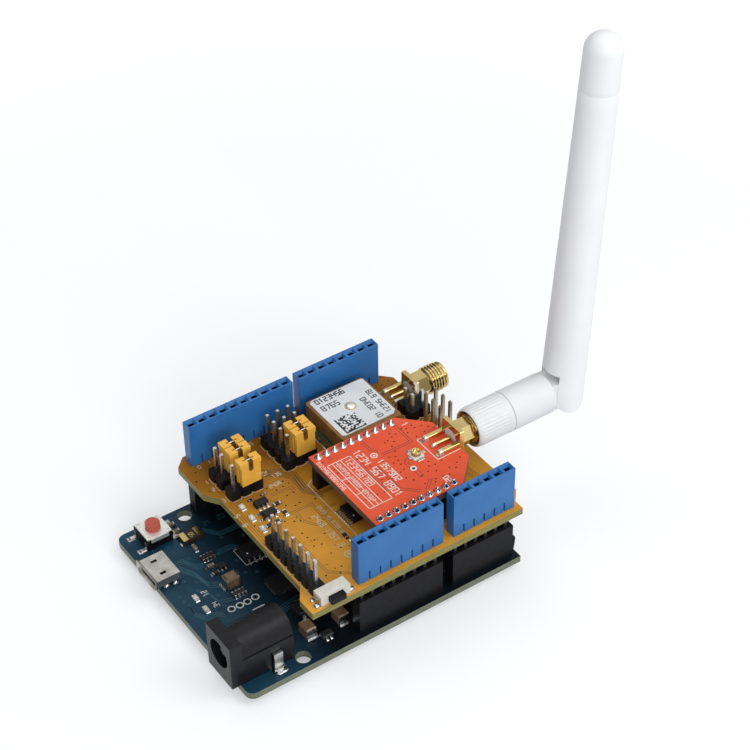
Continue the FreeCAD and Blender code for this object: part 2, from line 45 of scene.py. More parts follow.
BOARD_T = 1.6
SHIELD_UNDER, SHIELD_TOP, RADIO_TOP = 12.1, 13.7, 21.5
PITCH, PIN_W = 2.54, 0.64
HALF = PITCH / 2
NEAR_Y, FAR_Y = 2.54, 50.8
NEAR_8 = [(27.94 + PITCH * i, NEAR_Y) for i in range(8)]
NEAR_6 = [(50.8 + PITCH * i, NEAR_Y) for i in range(6)]
FAR_10 = [(18.796 + PITCH * i, FAR_Y) for i in range(10)]
FAR_8 = [(45.72 + PITCH * i, FAR_Y) for i in range(8)]
EDGE_PINS = NEAR_8 + NEAR_6 + FAR_10 + FAR_8
ISP_PINS = [(x, y) for x in (63.63, 66.17) for y in (25.27, 27.81, 30.35)]
BLOCK_A = [(x, y) for x in (20, 22.54, 25.08) for y in (43.44, 40.9, 36.9)]
BLOCK_B = [(x, y) for x in (34.1, 36.64, 39.18) for y in (38.2, 40.74, 43.28, 45.82)]
SERIAL = [(18.91, 19.97 - PITCH * i) for i in range(7)]
QUAD = [(x, y) for x in (64.05, 66.59) for y in (35.85, 38.39)]
RADIO_Y, RADIO_X1 = 18.53, 61.35
RADIO_PINS = [(36.04 + 2 * i, RADIO_Y + s * 11) for s in (-1, 1) for i in range(10)]
AXIS_Z = RADIO_TOP + 0.45
HINGE = (90.6, RADIO_Y, AXIS_Z)
LEAN = math.radians(3.75)
WELD = 1e-7


def spot(x, y, z):
    return (Vector((x, y, z)) + SHIFT) * MM


def link(name, data):
    obj = bpy.data.objects.new(name, data)
    bpy.context.scene.collection.objects.link(obj)
    return obj


def soften(obj, width, segments=2, angle=35):
    mod = obj.modifiers.new("edges", "BEVEL")
    mod.width, mod.segments = width * MM, segments
    mod.limit_method, mod.angle_limit = "ANGLE", math.radians(angle)


def bands(rows, n):
    """Faces between one closed row of n points and the next."""
    return [(k * n + i, k * n + (i + 1) % n, (k + 1) * n + (i + 1) % n, (k + 1) * n + i)
            for k in range(rows - 1) for i in range(n)]


def around(n):
    return [(math.cos(2 * math.pi * i / n), math.sin(2 * math.pi * i / n)) for i in range(n)]


def quarter(steps):
    """Angles from 0 to 90 degrees."""
    return [math.pi / 2 * k / steps for k in range(steps + 1)]


def beside(pts, offset, least):
    """A run of points moved sideways, with mitred corners that least keeps from growing long."""
    moved = []
    for i, p in enumerate(pts):
        p = Vector(p)
        d0 = (p - Vector(pts[i - 1])).normalized() if i else None
        d1 = (Vector(pts[i + 1]) - p).normalized() if i < len(pts) - 1 else None
        d, last = ((d0 or d1) + (d1 or d0)).normalized(), d1 or d0
        side, across = Vector((-d.y, d.x)), Vector((-last.y, last.x))
        moved.append(p + side * (offset / max(least, abs(side.dot(across)))))
    return moved


class Build:
    """Collects faces in layout millimetres, each with a material number, and makes one piece of them."""

    def __init__(self):
        self.verts, self.faces, self.mats, self.smooth = [], [], [], []

    def add(self, verts, faces, mat=0, smooth=False):
        n = len(self.verts)
        self.verts += [tuple(v) for v in verts]
        self.faces += [tuple(n + i for i in f) for f in faces]
        self.mats += [mat] * len(faces)
        self.smooth += [smooth] * len(faces)

    def face(self, verts, mat=0):
        self.add(verts, [tuple(range(len(verts)))], mat)

    def box(self, x0, x1, y0, y1, z0, z1, mat=0):
        v = [(x, y, z) for z in (z0, z1) for y in (y0, y1) for x in (x0, x1)]
        self.add(v, [(0, 2, 3, 1), (4, 5, 7, 6), (0, 1, 5, 4), (2, 6, 7, 3), (0, 4, 6, 2), (1, 3, 7, 5)], mat)

    def block(self, x, y, sx, sy, z0, z1, mat=0):
        self.box(x - sx / 2, x + sx / 2, y - sy / 2, y + sy / 2, z0, z1, mat)

    def soft_box(self, x0, x1, y0, y1, z0, z1, c, mat=0):
        """A box whose top and upright edges are cut at 45 degrees by c."""
        def ring(inset, z, cut):
            a0, a1, b0, b1 = x0 + inset, x1 - inset, y0 + inset, y1 - inset
            return [(a0 + cut, b0, z), (a1 - cut, b0, z), (a1, b0 + cut, z), (a1, b1 - cut, z),
                    (a1 - cut, b1, z), (a0 + cut, b1, z), (a0, b1 - cut, z), (a0, b0 + cut, z)]
        v = ring(0, z0, c) + ring(0, z1 - c, c) + ring(c, z1, c * 0.6)
        self.add(v, [tuple(reversed(range(8)))] + bands(3, 8) + [tuple(range(16, 24))], mat)

    def soft_block(self, x, y, sx, sy, z0, z1, c, mat=0):
        self.soft_box(x - sx / 2, x + sx / 2, y - sy / 2, y + sy / 2, z0, z1, c, mat)

    def between(self, first, second, mat=0):
        """A solid between two outlines with equally many points."""
        n = len(first)
        self.add(first + second, [tuple(reversed(range(n))), tuple(range(n, 2 * n))] + bands(2, n), mat)

    def prism(self, pts, z0, z1, mat=0):
        self.between([(x, y, z0) for x, y in pts], [(x, y, z1) for x, y in pts], mat)

    def lathe(self, profile, place, mat=0, n=32, smooth=True):
        """Turns (radius, height) pairs round an axis; place maps (a, b, h) to layout coordinates."""
        v = [place(r * c, r * s, h) for r, h in profile for c, s in around(n)]
        self.add(v, bands(len(profile), n), mat, smooth)

    def turn_z(self, x, y, profile, mat=0, n=24, smooth=True):
        self.lathe(profile, lambda a, b, h: (x + a, y + b, h), mat, n, smooth)

    def turn_x(self, y, z, profile, mat=0, n=48, smooth=True):
        self.lathe(profile, lambda a, b, h: (h, y + a, z + b), mat, n, smooth)

    def ring_z(self, x, y, r0, r1, z0, z1, mat=0, n=24):
        self.turn_z(x, y, [(r0, z0), (r1, z0), (r1, z1), (r0, z1), (r0, z0)], mat, n, False)

    def disc(self, x, y, r, z, mat=0, n=24):
        self.turn_z(x, y, [(0, z), (r, z)], mat, n, False)

    def strip(self, pts, width, z0, z1, mat=0):
        """A flat strip of one width along a run of points."""
        n = len(pts)
        sides = beside(pts, width / 2, 0.4) + beside(pts, -width / 2, 0.4)
        v = [(q.x, q.y, z) for z in (z0, z1) for q in sides]
        f = []
        for i in range(n - 1):
            a, b, c, d = i, i + 1, n + i + 1, n + i
            f += [(2 * n + a, 2 * n + d, 2 * n + c, 2 * n + b), (a, b, c, d),
                  (a, 2 * n + a, 2 * n + b, b), (d, c, 2 * n + c, 2 * n + d)]
        f += [(0, n, 3 * n, 2 * n), (n - 1, 3 * n - 1, 4 * n - 1, 2 * n - 1)]
        self.add(v, f, mat)

    def dome(self, x, y, rx, ry, z0, h, mat=0, n=16):
        rings = 5
        v = [(x + rx * math.cos(a) * c, y + ry * math.cos(a) * s, z0 + h * math.sin(a))
             for a in quarter(rings)[:rings] for c, s in around(n)] + [(x, y, z0 + h)]
        last = (rings - 1) * n
        f = bands(rings, n) + [(last + i, last + (i + 1) % n, rings * n) for i in range(n)]
        self.add(v, f + [tuple(reversed(range(n)))], mat, True)

    def form(self, name, mats=(), weld=True):
        """The faces as one object, with normals outwards; weld joins points that coincide."""
        mesh = bpy.data.meshes.new(name)
        mesh.from_pydata([spot(*v) for v in self.verts], [], self.faces)
        for m in mats:
            mesh.materials.append(m)
        for p, m, s in zip(mesh.polygons, self.mats, self.smooth):
            p.material_index, p.use_smooth = m, s
        bm = bmesh.new()
        bm.from_mesh(mesh)
        if weld:
            bmesh.ops.remove_doubles(bm, verts=bm.verts, dist=WELD)
        bmesh.ops.recalc_face_normals(bm, faces=bm.faces)
        bm.to_mesh(mesh)
        bm.free()
        return link(name, mesh)

    def make(self, name, mats, nodes="", bevel=0, weld=False):
        """A piece of the root body; mats and nodes are names, and it takes the place of the nodes."""
        obj = self.form(name, [M[m] for m in mats.split()], weld)
        if bevel:
            soften(obj, bevel)
        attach(obj, ROOT)
        if nodes:
            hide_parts(*nodes.split())


def combine(obj, other, how):
    """Adds, cuts or intersects one closed mesh with another and keeps the result in obj."""
    mod = obj.modifiers.new("shape", "BOOLEAN")
    mod.operation, mod.solver, mod.object = how, "EXACT", other
    graph = bpy.context.evaluated_depsgraph_get()
    mesh = bpy.data.meshes.new_from_object(obj.evaluated_get(graph))
    obj.modifiers.clear()
    old, obj.data = obj.data, mesh
    bpy.data.meshes.remove(old)
    bpy.data.objects.remove(other)
    return obj


def shape_cyl(name, axis, lo, hi, r, n=160, round_lo=0, round_hi=0):
    """A turned solid along x, y or z through the hinge, with rounded rims."""
    x, y, z = HINGE
    prof = [(0, lo)]
    prof += [(r - round_lo * (1 - math.sin(a)), lo + round_lo * (1 - math.cos(a))) for a in quarter(6)]
    prof += [(r - round_hi * (1 - math.cos(a)), hi - round_hi * (1 - math.sin(a))) for a in quarter(6)]
    prof.append((0, hi))
    place = {"x": lambda a, q, h: (h, y + a, z + q), "y": lambda a, q, h: (x + q, h, z + a),
             "z": lambda a, q, h: (x + a, y + q, h)}[axis]
    b = Build()
    b.lathe(prof, place, 0, n)
    return b.form(name)


def shape_box(name, x0, x1, y0, y1, z0, z1):
    b = Build()
    b.box(x0, x1, y0, y1, z0, z1)
    return b.form(name)


def finish_piece(obj, mat, body, node, width=0):
    for p in obj.data.polygons:
        p.use_smooth = True
    obj.data.set_sharp_from_angle(angle=math.radians(32))
    obj.data.materials.clear()
    obj.data.materials.append(mat)
    if width:
        soften(obj, width, 3, 40)
    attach(obj, body)
    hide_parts(node)


# Materials
def feed(nt, socket, value):
    """Links another node's socket to this one, or sets its value; colours have three numbers."""
    if isinstance(value, bpy.types.NodeSocket):
        nt.links.new(value, socket)
    else:
        socket.default_value = (*value, 1) if socket.type == "RGBA" else value


def node(nt, kind, *inputs, **settings):
    n = nt.nodes.new("ShaderNode" + kind)
    for key, value in settings.items():
        setattr(n, key, value)
    for key, value in inputs:
        feed(nt, n.inputs[key], value)
    return n


def calc(nt, operation, *values):
    return node(nt, "Math", *enumerate(values), operation=operation).outputs[0]


def noise(nt, coord, scale, detail=4):
    n = node(nt, "TexNoise", ("Scale", scale), ("Detail", detail), ("Roughness", 0.55), ("Vector", coord))
    return n.outputs["Fac"]


def spread(nt, fac, lo, hi, f0=0.3, f1=0.7):
    """Maps fac from f0..f1 to lo..hi and stays inside them."""
    ends = ("From Min", f0), ("From Max", f1), ("To Min", lo), ("To Max", hi)
    return node(nt, "MapRange", ("Value", fac), *ends).outputs["Result"]


def mix(nt, fac, a, b, how="MIX"):
    """Blends two colours; the node's colour sockets are inputs 6 and 7 and output 2."""
    return node(nt, "Mix", ("Factor", fac), (6, a), (7, b), data_type="RGBA", blend_type=how).outputs[2]


def new_material(name):
    mat = bpy.data.materials.new(name)
    mat.use_nodes = True
    return mat, mat.node_tree, mat.node_tree.nodes["Principled BSDF"].inputs


def finish_of(name, dark, light, rough, metal, grain, fine, bump, spec=0.5, coat=0, stretch=None):
    """A surface whose colour drifts between two tones, with uneven gloss and a fine bump."""
    mat, nt, surface = new_material(name)
    coord = node(nt, "TexCoord").outputs["Object"]
    if stretch:
        coord = node(nt, "Mapping", ("Scale", stretch), ("Vector", coord)).outputs["Vector"]
    broad, tight = noise(nt, coord, grain), noise(nt, coord, fine, 3)
    relief = node(nt, "Bump", ("Strength", bump), ("Distance", 0.05 * MM), ("Height", tight))
    for key, value in (
            ("Base Color", mix(nt, spread(nt, broad, 0, 1), dark, light)),
            ("Roughness", spread(nt, tight, *rough)), ("Metallic", metal), ("Coat Weight", coat),
            ("Coat Roughness", 0.12), ("Specular IOR Level", spec), ("Normal", relief.outputs[0])):
        feed(nt, surface[key], value)
    return mat


def laminate(name, dark, light, edge_dark, edge_light, painted_shade=None):
    """Solder mask on the faces, layered glass epoxy on the cut edges; the last argument, if given, is (tone,
    axis, from, to): painted shade that blends the faces towards tone along that axis.
    """
    mat = finish_of(name, dark, light, (0.26, 0.4), 0, 110, 2600, 0.05, 0.16)
    nt = mat.node_tree
    colour = nt.nodes["Principled BSDF"].inputs["Base Color"]
    face = colour.links[0].from_socket
    coord = node(nt, "TexCoord").outputs["Object"]
    if painted_shade:
        # Painted shade: the faces blend towards a darker tone along one axis.
        tone, axis, d0, d1 = painted_shade
        along = node(nt, "SeparateXYZ", (0, coord)).outputs[axis]
        face = mix(nt, spread(nt, along, 0, 1, d0, d1), face, tone)
    layers = node(nt, "Mapping", ("Scale", (300, 300, 5200)), ("Vector", coord)).outputs["Vector"]
    edge = mix(nt, spread(nt, noise(nt, layers, 1), 0, 1), edge_dark, edge_light)
    up = node(nt, "SeparateXYZ", (0, node(nt, "NewGeometry").outputs["Normal"])).outputs["Z"]
    flat = spread(nt, calc(nt, "ABSOLUTE", up), 0, 1, 0.6, 0.8)
    feed(nt, colour, mix(nt, flat, edge, face))
    return mat


M = {}
# Name, dark and light tone, roughness, metal, grain and fine grain per metre, bump, specular, coat, stretch
for row in (
        ("black", (0.003, 0.003, 0.004), (0.007, 0.007, 0.009), (0.38, 0.55), 0, 900, 9000, 0.15, 0.15),
        ("charcoal", (0.006, 0.006, 0.008), (0.011, 0.011, 0.014), (0.27, 0.38), 0, 900, 9000, 0.2, 0.18),
        ("chip", (0.006, 0.006, 0.008), (0.014, 0.014, 0.016), (0.42, 0.6), 0, 900, 9000, 0.25, 0.25),
        ("blue", (0.019, 0.128, 0.36), (0.031, 0.16, 0.42), (0.32, 0.46), 0, 160, 9000, 0.06, 0.35),
        ("amber", (0.74, 0.385, 0.048), (0.83, 0.465, 0.072), (0.26, 0.4), 0, 500, 9000, 0.08, 0.4),
        # A darker copy of the caps' amber: painted shade inside the caps' channels and slits.
        ("amber_dark", (0.2, 0.085, 0.012), (0.32, 0.145, 0.022), (0.4, 0.55), 0, 900, 9000, 0.1),
        ("red", (0.42, 0.075, 0.045), (0.52, 0.105, 0.065), (0.35, 0.5), 0, 900, 9000, 0.15, 0.3),
        # One white plastic in two copies: the first row, for the nut, elbow and hinge pin, is painted darker,
        # and the second, for the mast, painted lighter, standing in for how the light falls on each.
        ("white", (0.725, 0.732, 0.742), (0.76, 0.765, 0.775), (0.36, 0.48), 0, 120, 4000, 0.04, 0.22),
        ("mast_white_painted_light", (0.845, 0.85, 0.86), (0.875, 0.88, 0.885), (0.36, 0.48), 0, 120, 4000, 0.04, 0.22),
        ("ivory", (0.58, 0.565, 0.5), (0.67, 0.655, 0.59), (0.4, 0.55), 0, 900, 9000, 0.2, 0.3),
        ("ptfe", (0.62, 0.61, 0.6), (0.72, 0.71, 0.7), (0.35, 0.5), 0, 900, 9000, 0.1, 0.3),
        ("gold", (0.6, 0.44, 0.17), (0.7, 0.54, 0.24), (0.12, 0.2), 1, 300, 9000, 0.02),
        ("tin", (0.5, 0.5, 0.48), (0.66, 0.66, 0.64), (0.22, 0.36), 1, 500, 5000, 0.05),
        ("plate", (0.7, 0.7, 0.66), (0.84, 0.84, 0.8), (0.3, 0.46), 0.75, 700, 7000, 0.12),
        ("shell", (0.34, 0.325, 0.285), (0.6, 0.59, 0.54), (0.26, 0.4), 0.92, 330, 4000, 0.05),
        ("solder", (0.3, 0.3, 0.31), (0.62, 0.62, 0.62), (0.1, 0.24), 1, 1500, 4000, 0.12),
        ("dark_solder", (0.44, 0.43, 0.43), (0.62, 0.61, 0.61), (0.06, 0.14), 1, 1200, 4000, 0.06),
        ("bright_solder", (0.6, 0.6, 0.59), (0.8, 0.8, 0.79), (0.12, 0.22), 0.85, 900, 1500, 0.03),
        ("silver_pin", (0.56, 0.54, 0.5), (0.74, 0.72, 0.68), (0.2, 0.34), 1, 1500, 9000, 0.08, 0.5, 0,
         (1, 1, 0.15)),
        ("pin", (0.36, 0.3, 0.22), (0.52, 0.45, 0.35), (0.24, 0.38), 1, 1500, 9000, 0.08, 0.5, 0,
         (1, 1, 0.15)),
        # A near-black metal for the jack's centre pin: painted shade of the jack's bore.
        ("shaded_pin", (0.06, 0.058, 0.055), (0.12, 0.116, 0.11), (0.3, 0.45), 1, 900, 9000, 0.08),
        ("ceramic", (0.15, 0.09, 0.05), (0.24, 0.15, 0.09), (0.35, 0.55), 0, 900, 9000, 0.2),
        ("resistor", (0.012, 0.012, 0.015), (0.026, 0.026, 0.03), (0.3, 0.5), 0, 900, 9000, 0.15, 0.35),
        ("lens", (0.58, 0.58, 0.46), (0.72, 0.72, 0.6), (0.2, 0.35), 0, 1500, 9000, 0.1, 0.5, 0.3),
        ("patch", (0.17, 0.074, 0.019), (0.28, 0.14, 0.045), (0.5, 0.65), 0, 420, 9000, 0.2, 0.3),
        ("silvered", (0.66, 0.67, 0.68), (0.74, 0.75, 0.76), (0.4, 0.52), 0.2, 220, 5000, 0.08),
        ("can", (0.46, 0.46, 0.44), (0.6, 0.6, 0.58), (0.25, 0.4), 1, 400, 8000, 0.08),
        ("fuse", (0.02, 0.011, 0.006), (0.042, 0.024, 0.013), (0.4, 0.55), 0, 900, 9000, 0.2, 0.3),
        ("ink", (0.02, 0.02, 0.022), (0.045, 0.045, 0.048), (0.5, 0.65), 0, 900, 9000, 0.05, 0.2),
        ("silk", (0.66, 0.66, 0.62), (0.76, 0.76, 0.72), (0.5, 0.65), 0, 900, 9000, 0.1, 0.25),
        ("shield_silk", (0.56, 0.5, 0.36), (0.68, 0.62, 0.48), (0.5, 0.65), 0, 900, 9000, 0.1, 0.25),
        ("base_copper", (0.018, 0.076, 0.11), (0.028, 0.104, 0.142), (0.25, 0.38), 0, 900, 9000, 0.05, 0.3),
        ("hollow", (0.006, 0.005, 0.004), (0.014, 0.011, 0.008), (0.6, 0.8), 0, 900, 9000, 0.05, 0.1),
        # A near-black blue: painted shade in the headers' passages.
        ("blue_deep", (0.003, 0.01, 0.028), (0.006, 0.016, 0.042), (0.6, 0.8), 0, 900, 9000, 0.05, 0.1),
        ("gap_shield", (0.06, 0.03, 0.008), (0.11, 0.055, 0.014), (0.3, 0.45), 0, 900, 9000, 0.05),
        ("gap_radio", (0.12, 0.018, 0.012), (0.18, 0.026, 0.018), (0.3, 0.45), 0, 900, 9000, 0.05)):
    M[row[0]] = finish_of(*row)
for row in (
        # The base row's last entry is painted shade: the board darkens towards +X, under the shield.
        ("base", (0.005, 0.032, 0.062), (0.013, 0.058, 0.094), (0.1, 0.115, 0.08), (0.2, 0.22, 0.15),
         ((0.003, 0.006, 0.01), "X", -0.04, -0.028)),
        # The shield row's last entry is painted shade: the board darkens towards the back.
        ("shield", (0.6, 0.272, 0.028), (0.74, 0.35, 0.046), (0.15, 0.135, 0.04), (0.3, 0.27, 0.095),
         ((0.29, 0.112, 0.006), "Y", -0.012, 0.018)),
        ("radio", (0.69, 0.08, 0.03), (0.78, 0.107, 0.046), (0.075, 0.05, 0.045), (0.135, 0.095, 0.085)),
        ("module", (0.01, 0.06, 0.035), (0.018, 0.085, 0.05), (0.12, 0.13, 0.07), (0.22, 0.23, 0.13))):
    M[row[0]] = laminate(*row)


def paint(name, mat, width):
    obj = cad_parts[name]
    for s in obj.material_slots:
        s.material = mat
    if not obj.material_slots:
        obj.data.materials.append(mat)
    if width:
        soften(obj, width)


for names, mat, width in (
        ("base_socket_10 base_socket_8 base_socket_6 isp_stack_socket base_isp_header", "black", 0.06),
        ("jumper_headers serial_header radio_sockets radio_pin_strips", "black", 0.06),
        ("usb_tongue reset_switch_body shield_switch_button", "black", 0.06),
        ("base_socket_contacts stack_header_pins shield_switch_legs reset_switch_legs", "tin", 0.04),
        ("dc_jack_tabs", "tin", 0.04), ("usb_shell", "shell", 0.04), ("header_pins", "silver_pin", 0.13),
        ("isp_stack_pins base_isp_pins radio_pins", "pin", 0.13), ("reset_switch_plate", "plate", 0.1),
        # The jack's centre pin takes a near-black metal: painted shade inside the bore.
        ("dc_jack_housing", "charcoal", 0.15), ("dc_jack_pin", "shaded_pin", 0.15), ("base_mcu", "chip", 0.1),
        ("reset_button", "red", 0.12), ("shield_switch_body", "ivory", 0.12),
        ("rf_module_can", "can", 0.12), ("antenna_hinge_pin", "white", 0.15), ("base_board", "base", 0),
        ("shield_board", "shield", 0), ("radio_board", "radio", 0),
        ("rf_module_board gps_substrate", "module", 0)):
    for name in names.split():
        paint(name, M[mat], width)


# Small packages and their legs
def fold(b, x, y, ux, uy, w, prof, mat):
    """A bent strip of width w: its side view, in (distance along (ux, uy), height), is prof."""
    px, py = -uy * w / 2, ux * w / 2
    b.between(*([(x + ux * t + s * px, y + uy * t + s * py, z) for t, z in prof] for s in (-1, 1)), mat)


def wing(b, x, y, ux, uy, w, z, h, reach, mat):
    """A gull-wing leg from height h down to the board at z."""
    t = 0.16
    prof = [(0, h), (0.3 * reach, h), (0.52 * reach, t), (reach, t), (reach, 0), (0.42 * reach, 0),
            (0.22 * reach, h - t), (0, h - t)]
    fold(b, x, y, ux, uy, w, [(a, z + c) for a, c in prof], mat)


def fillet(b, x, y, ux, uy, w, z, h, reach, mat):
    """Solder that climbs to h at (x, y) and runs out over the board."""
    prof = [(0, z), (reach, z), (reach * 0.55, z + h * 0.22), (reach * 0.2, z + h * 0.55), (0, z + h)]
    fold(b, x, y, ux, uy, w, prof, mat)


def outline_pack(b, x, y, sx, sy, z, h, n, along="x", pitch=1.27, leg=0.4, reach=1, mark=True):
    """A moulded body with n gull-wing legs on two sides. Materials: 0 body, 1 legs, 2 solder, 3 mark."""
    b.soft_block(x, y, sx, sy, z + 0.1, z + h, 0.14)
    for i in range(n):
        o = (i - (n - 1) / 2) * pitch
        for s in (-1, 1):
            if along == "x":
                at, u = (x + o, y + s * (sy / 2 - 0.02)), (0, s)
            else:
                at, u = (x + s * (sx / 2 - 0.02), y + o), (s, 0)
            wing(b, *at, *u, leg, z, h * 0.55, reach, 1)
            fillet(b, at[0] + u[0] * reach, at[1] + u[1] * reach, *u, leg * 1.25, z, 0.2, 0.32, 2)
    if mark:
        b.disc(x - sx * 0.32, y - sy * 0.28, 0.22, z + h + 0.004, 3, 12)


def chip(b, x, y, sx, sy, z, h, end=0.26, mats=(0, 1, 2), foot=0.32):
    """A two-ended chip: body, plated ends and a solder fillet at each end."""
    body, metal, solder = mats
    b.soft_block(x, y, sx - 0.04, sy - 0.04, z, z + h - 0.02, min(sx, sy, h) * 0.08, body)
    lx = sx >= sy
    ex, ey = (end * sx, sy) if lx else (sx, end * sy)
    for u, w in ((-1, 0), (1, 0)) if lx else ((0, -1), (0, 1)):
        at = x + u * (sx - ex) / 2, y + w * (sy - ey) / 2
        b.soft_block(*at, ex, ey, z, z + h, min(sx, sy, h) * 0.1, metal)
        fillet(b, x + u * sx / 2, y + w * sy / 2, u, w, min(sx, sy) * 0.95, z, h * 0.7, foot, solder)


# Figures, drawn with strokes on a grid 2 wide and 4 high
INK_T, LANE_T = 0.02, 0.012
FIGURES = {
    "0": [[(0, 0), (2, 0), (2, 4), (0, 4), (0, 0)]],
    "1": [[(0.3, 3.2), (1, 4), (1, 0)]],
    "2": [[(0, 4), (2, 4), (2, 2), (0, 2), (0, 0), (2, 0)]],
    "3": [[(0, 4), (2, 4), (2, 0), (0, 0)], [(0.4, 2), (2, 2)]],
    "4": [[(0, 4), (0, 2), (2, 2)], [(2, 4), (2, 0)]],
    "5": [[(2, 4), (0, 4), (0, 2), (2, 2), (2, 0), (0, 0)]],
    "6": [[(2, 4), (0, 4), (0, 0), (2, 0), (2, 2), (0, 2)]],
    "7": [[(0, 4), (2, 4), (1, 0)]],
    "8": [[(0, 0), (2, 0), (2, 4), (0, 4), (0, 0)], [(0, 2), (2, 2)]],
    "9": [[(2, 2), (0, 2), (0, 4), (2, 4), (2, 0), (0, 0)]],
}


def figures(b, z, mat, *rows):
    """Plain figures; a row is text, x, y, height, direction in degrees, and the stroke if not 0.13."""
    for text, x, y, size, angle, *wide in rows:
        c, s, k = math.cos(math.radians(angle)), math.sin(math.radians(angle)), size / 4
        for i, ch in enumerate(text):
            for run in FIGURES.get(ch, []):
                pts = [((a + 3.1 * i) * k, q * k) for a, q in run]
                pts = [(x + a * c - q * s, y + a * s + q * c) for a, q in pts]
                b.strip(pts, wide[0] if wide else 0.13, z, z + INK_T, mat)


def rect(b, x0, x1, y0, y1, z, wide, h=INK_T):
    """The four lines of a frame."""
    e = wide / 2
    for xa, xb, ya, yb in ((x0, x1, y0, y0), (x0, x1, y1, y1), (x0, x0, y0, y1), (x1, x1, y0, y1)):
        b.box(xa - e, xb + e, ya - e, yb + e, z, z + h)


def lane(b, pts, gap, wide, z):
    """The two thin isolation lines that run beside one trace."""
    for s in (-1, 1):
        b.strip(beside(pts, s * gap / 2, 0.5), wide, z, z + LANE_T)


# Base board: traces, rings, silk, pads
b = Build()
for pts, n, step in (
        ([(6.2, 39.4), (8, 39.2), (9.6, 36), (11, 35.8)], 3, 0.55),
        ([(6.4, 37.6), (8.2, 34.2), (8.8, 30.4), (11.4, 28.6)], 4, 0.5),
        ([(6, 30.4), (7.6, 28.4), (8.2, 25), (11.2, 24)], 2, 0.6),
        ([(2.6, 27.4), (2.3, 24.8), (3.6, 22.6), (6, 22.4), (7.2, 21.2)], 3, 0.5),
        ([(16.2, 44.8), (18.4, 41.8), (24, 41.6), (27, 39)], 3, 0.5),
        ([(15, 37.2), (18.4, 37.2), (20, 35.6)], 3, 0.55),
        ([(23.2, 31.8), (30, 31.6), (33.6, 28.4), (39, 28)], 4, 0.6),
        ([(14.8, 15.4), (20, 16.2), (26, 16.4), (34, 24.2), (39.2, 24.4)], 4, 0.6),
        ([(48.8, 22.4), (55, 17), (56, 6)], 5, 0.8), ([(49, 29.8), (54.6, 35), (55.6, 48.6)], 6, 0.8),
        ([(42, 31), (36, 38), (33.6, 48.8)], 5, 0.8), ([(4.4, 44.8), (3.2, 43.2), (3.2, 41.4)], 2, 0.5)):
    for k in range(n):
        o = (k - (n - 1) / 2) * step
        b.strip([(x + o * 0.25, y + o) for x, y in pts], 0.2, 0, 0.016, 0)
rnd = random.Random(7)
for x, y in [
        (7.4, 44.6), (8.3, 46.2), (4.6, 45.3), (2.7, 43.1), (5.2, 34), (9.4, 39.2), (2.4, 30.8),
        (2.4, 29.1), (15.2, 36.9), (18.3, 40.6), (22.3, 38.5), (19, 27.8), (16.9, 29), (22.1, 24.8),
        (13.6, 45.9), (7.2, 32.4), (9, 26.6), (15.6, 30), (17.2, 33), (8.6, 23.4)]:
    b.ring_z(x, y, 0.16, 0.36, 0, 0.02, 1, 14)
    b.disc(x, y, 0.16, 0.006, 2, 12)
for x, y in ((9.2, 21.8), (11.1, 21.7), (12.9, 21.7), (14.9, 21.9)):
    b.ring_z(x, y, 0.62, 0.86, 0, 0.03, 3, 28)
    b.ring_z(x, y, 0.36, 0.62, 0, 0.022, 0, 28)
    b.disc(x, y, 0.36, 0.01, 2, 20)
b.make("base_traces", "base_copper base_copper hollow silk")

b = Build()
rect(b, 18.2, 23.8, 30.6, 35.8, 0, 0.1, 0.014)
b.box(12.5, 15.3, 18.95, 19.2, 0, 0.02)
figures(b, 0, 0, ("12", 7.6, 28, 1.1, 90), ("34", 7.8, 24, 1.1, 90))
figures(b, 0, 1, ("21", 17.2, 45.6, 1.2, 0), ("20", 20.6, 45.6, 1.2, 0),
        *((str(i % 10), x - 0.3, 4.6, 1.1, 0) for i, (x, _) in enumerate(NEAR_8 + NEAR_6)))
b.make("base_silk", "silk base_copper")

b = Build()
for x, y in EDGE_PINS + ISP_PINS:
    b.ring_z(x, y, 0.44, 0.86, -1.63, -1.6, 0, 24)
    prof = [(0.8, -1.62), (0.62, -1.72), (0.48, -1.95), (0.4, -2.3), (0.34, -2.6)]
    b.turn_z(x, y, prof, 1, 20)
for x, y in ISP_PINS:
    b.block(x, y, PIN_W, PIN_W, -2.9, -1.6, 1)
for x, y, sx, sy in ((8.5, 2.9, 3, 1.5), (12.7, 7.8, 1.5, 3.6)):
    b.soft_block(x, y, sx, sy, -2.15, -1.6, 0.25, 1)
for pts in (
        [(20, 48.5), (24, 40), (40, 38)], [(28, 5), (31, 12), (45, 15), (50, 24)],
        [(60, 5), (58, 14), (62, 24)], [(10, 12), (18, 20), (18, 34), (26, 44)],
        [(50, 48.6), (46, 40), (34, 36), (24, 26)], [(8, 44), (8, 30), (16, 18), (30, 18)],
        [(63, 33), (56, 36), (56, 44), (60, 48.6)]):
    for k in range(3):
        b.strip([(x, y + 0.6 * k) for x, y in pts], 0.22, -1.616, -1.6, 2)
for k in range(60):
    x, y = 6 + rnd.random() * 56, 6 + rnd.random() * 42
    b.ring_z(x, y, 0.14, 0.34, -1.62, -1.6, 2, 12)
b.make("base_underside_solder", "tin solder base_copper")

# Small parts of the base board
b = Build()
for x, y, sx, sy, h in (
        (11.9, 40.9, 0.8, 1.6, 0.8), (11.9, 34.4, 1.6, 0.8, 0.8), (11.26, 49.67, 1.6, 0.8, 0.8),
        (11.2, 47.4, 1.6, 0.8, 0.8), (12.84, 27.85, 3.2, 2.5, 2.5), (18.2, 7.5, 2.5, 3.2, 2.5),
        (25.6, 7, 2.5, 3.2, 2.5), (33, 22, 0.8, 1.6, 0.8), (52, 30, 0.8, 1.6, 0.8)):
    chip(b, x, y, sx, sy, 0, h, 0.2, foot=0.28 + 0.12 * h)
b.make("ceramic_capacitors", "ceramic tin solder", "base_capacitors")

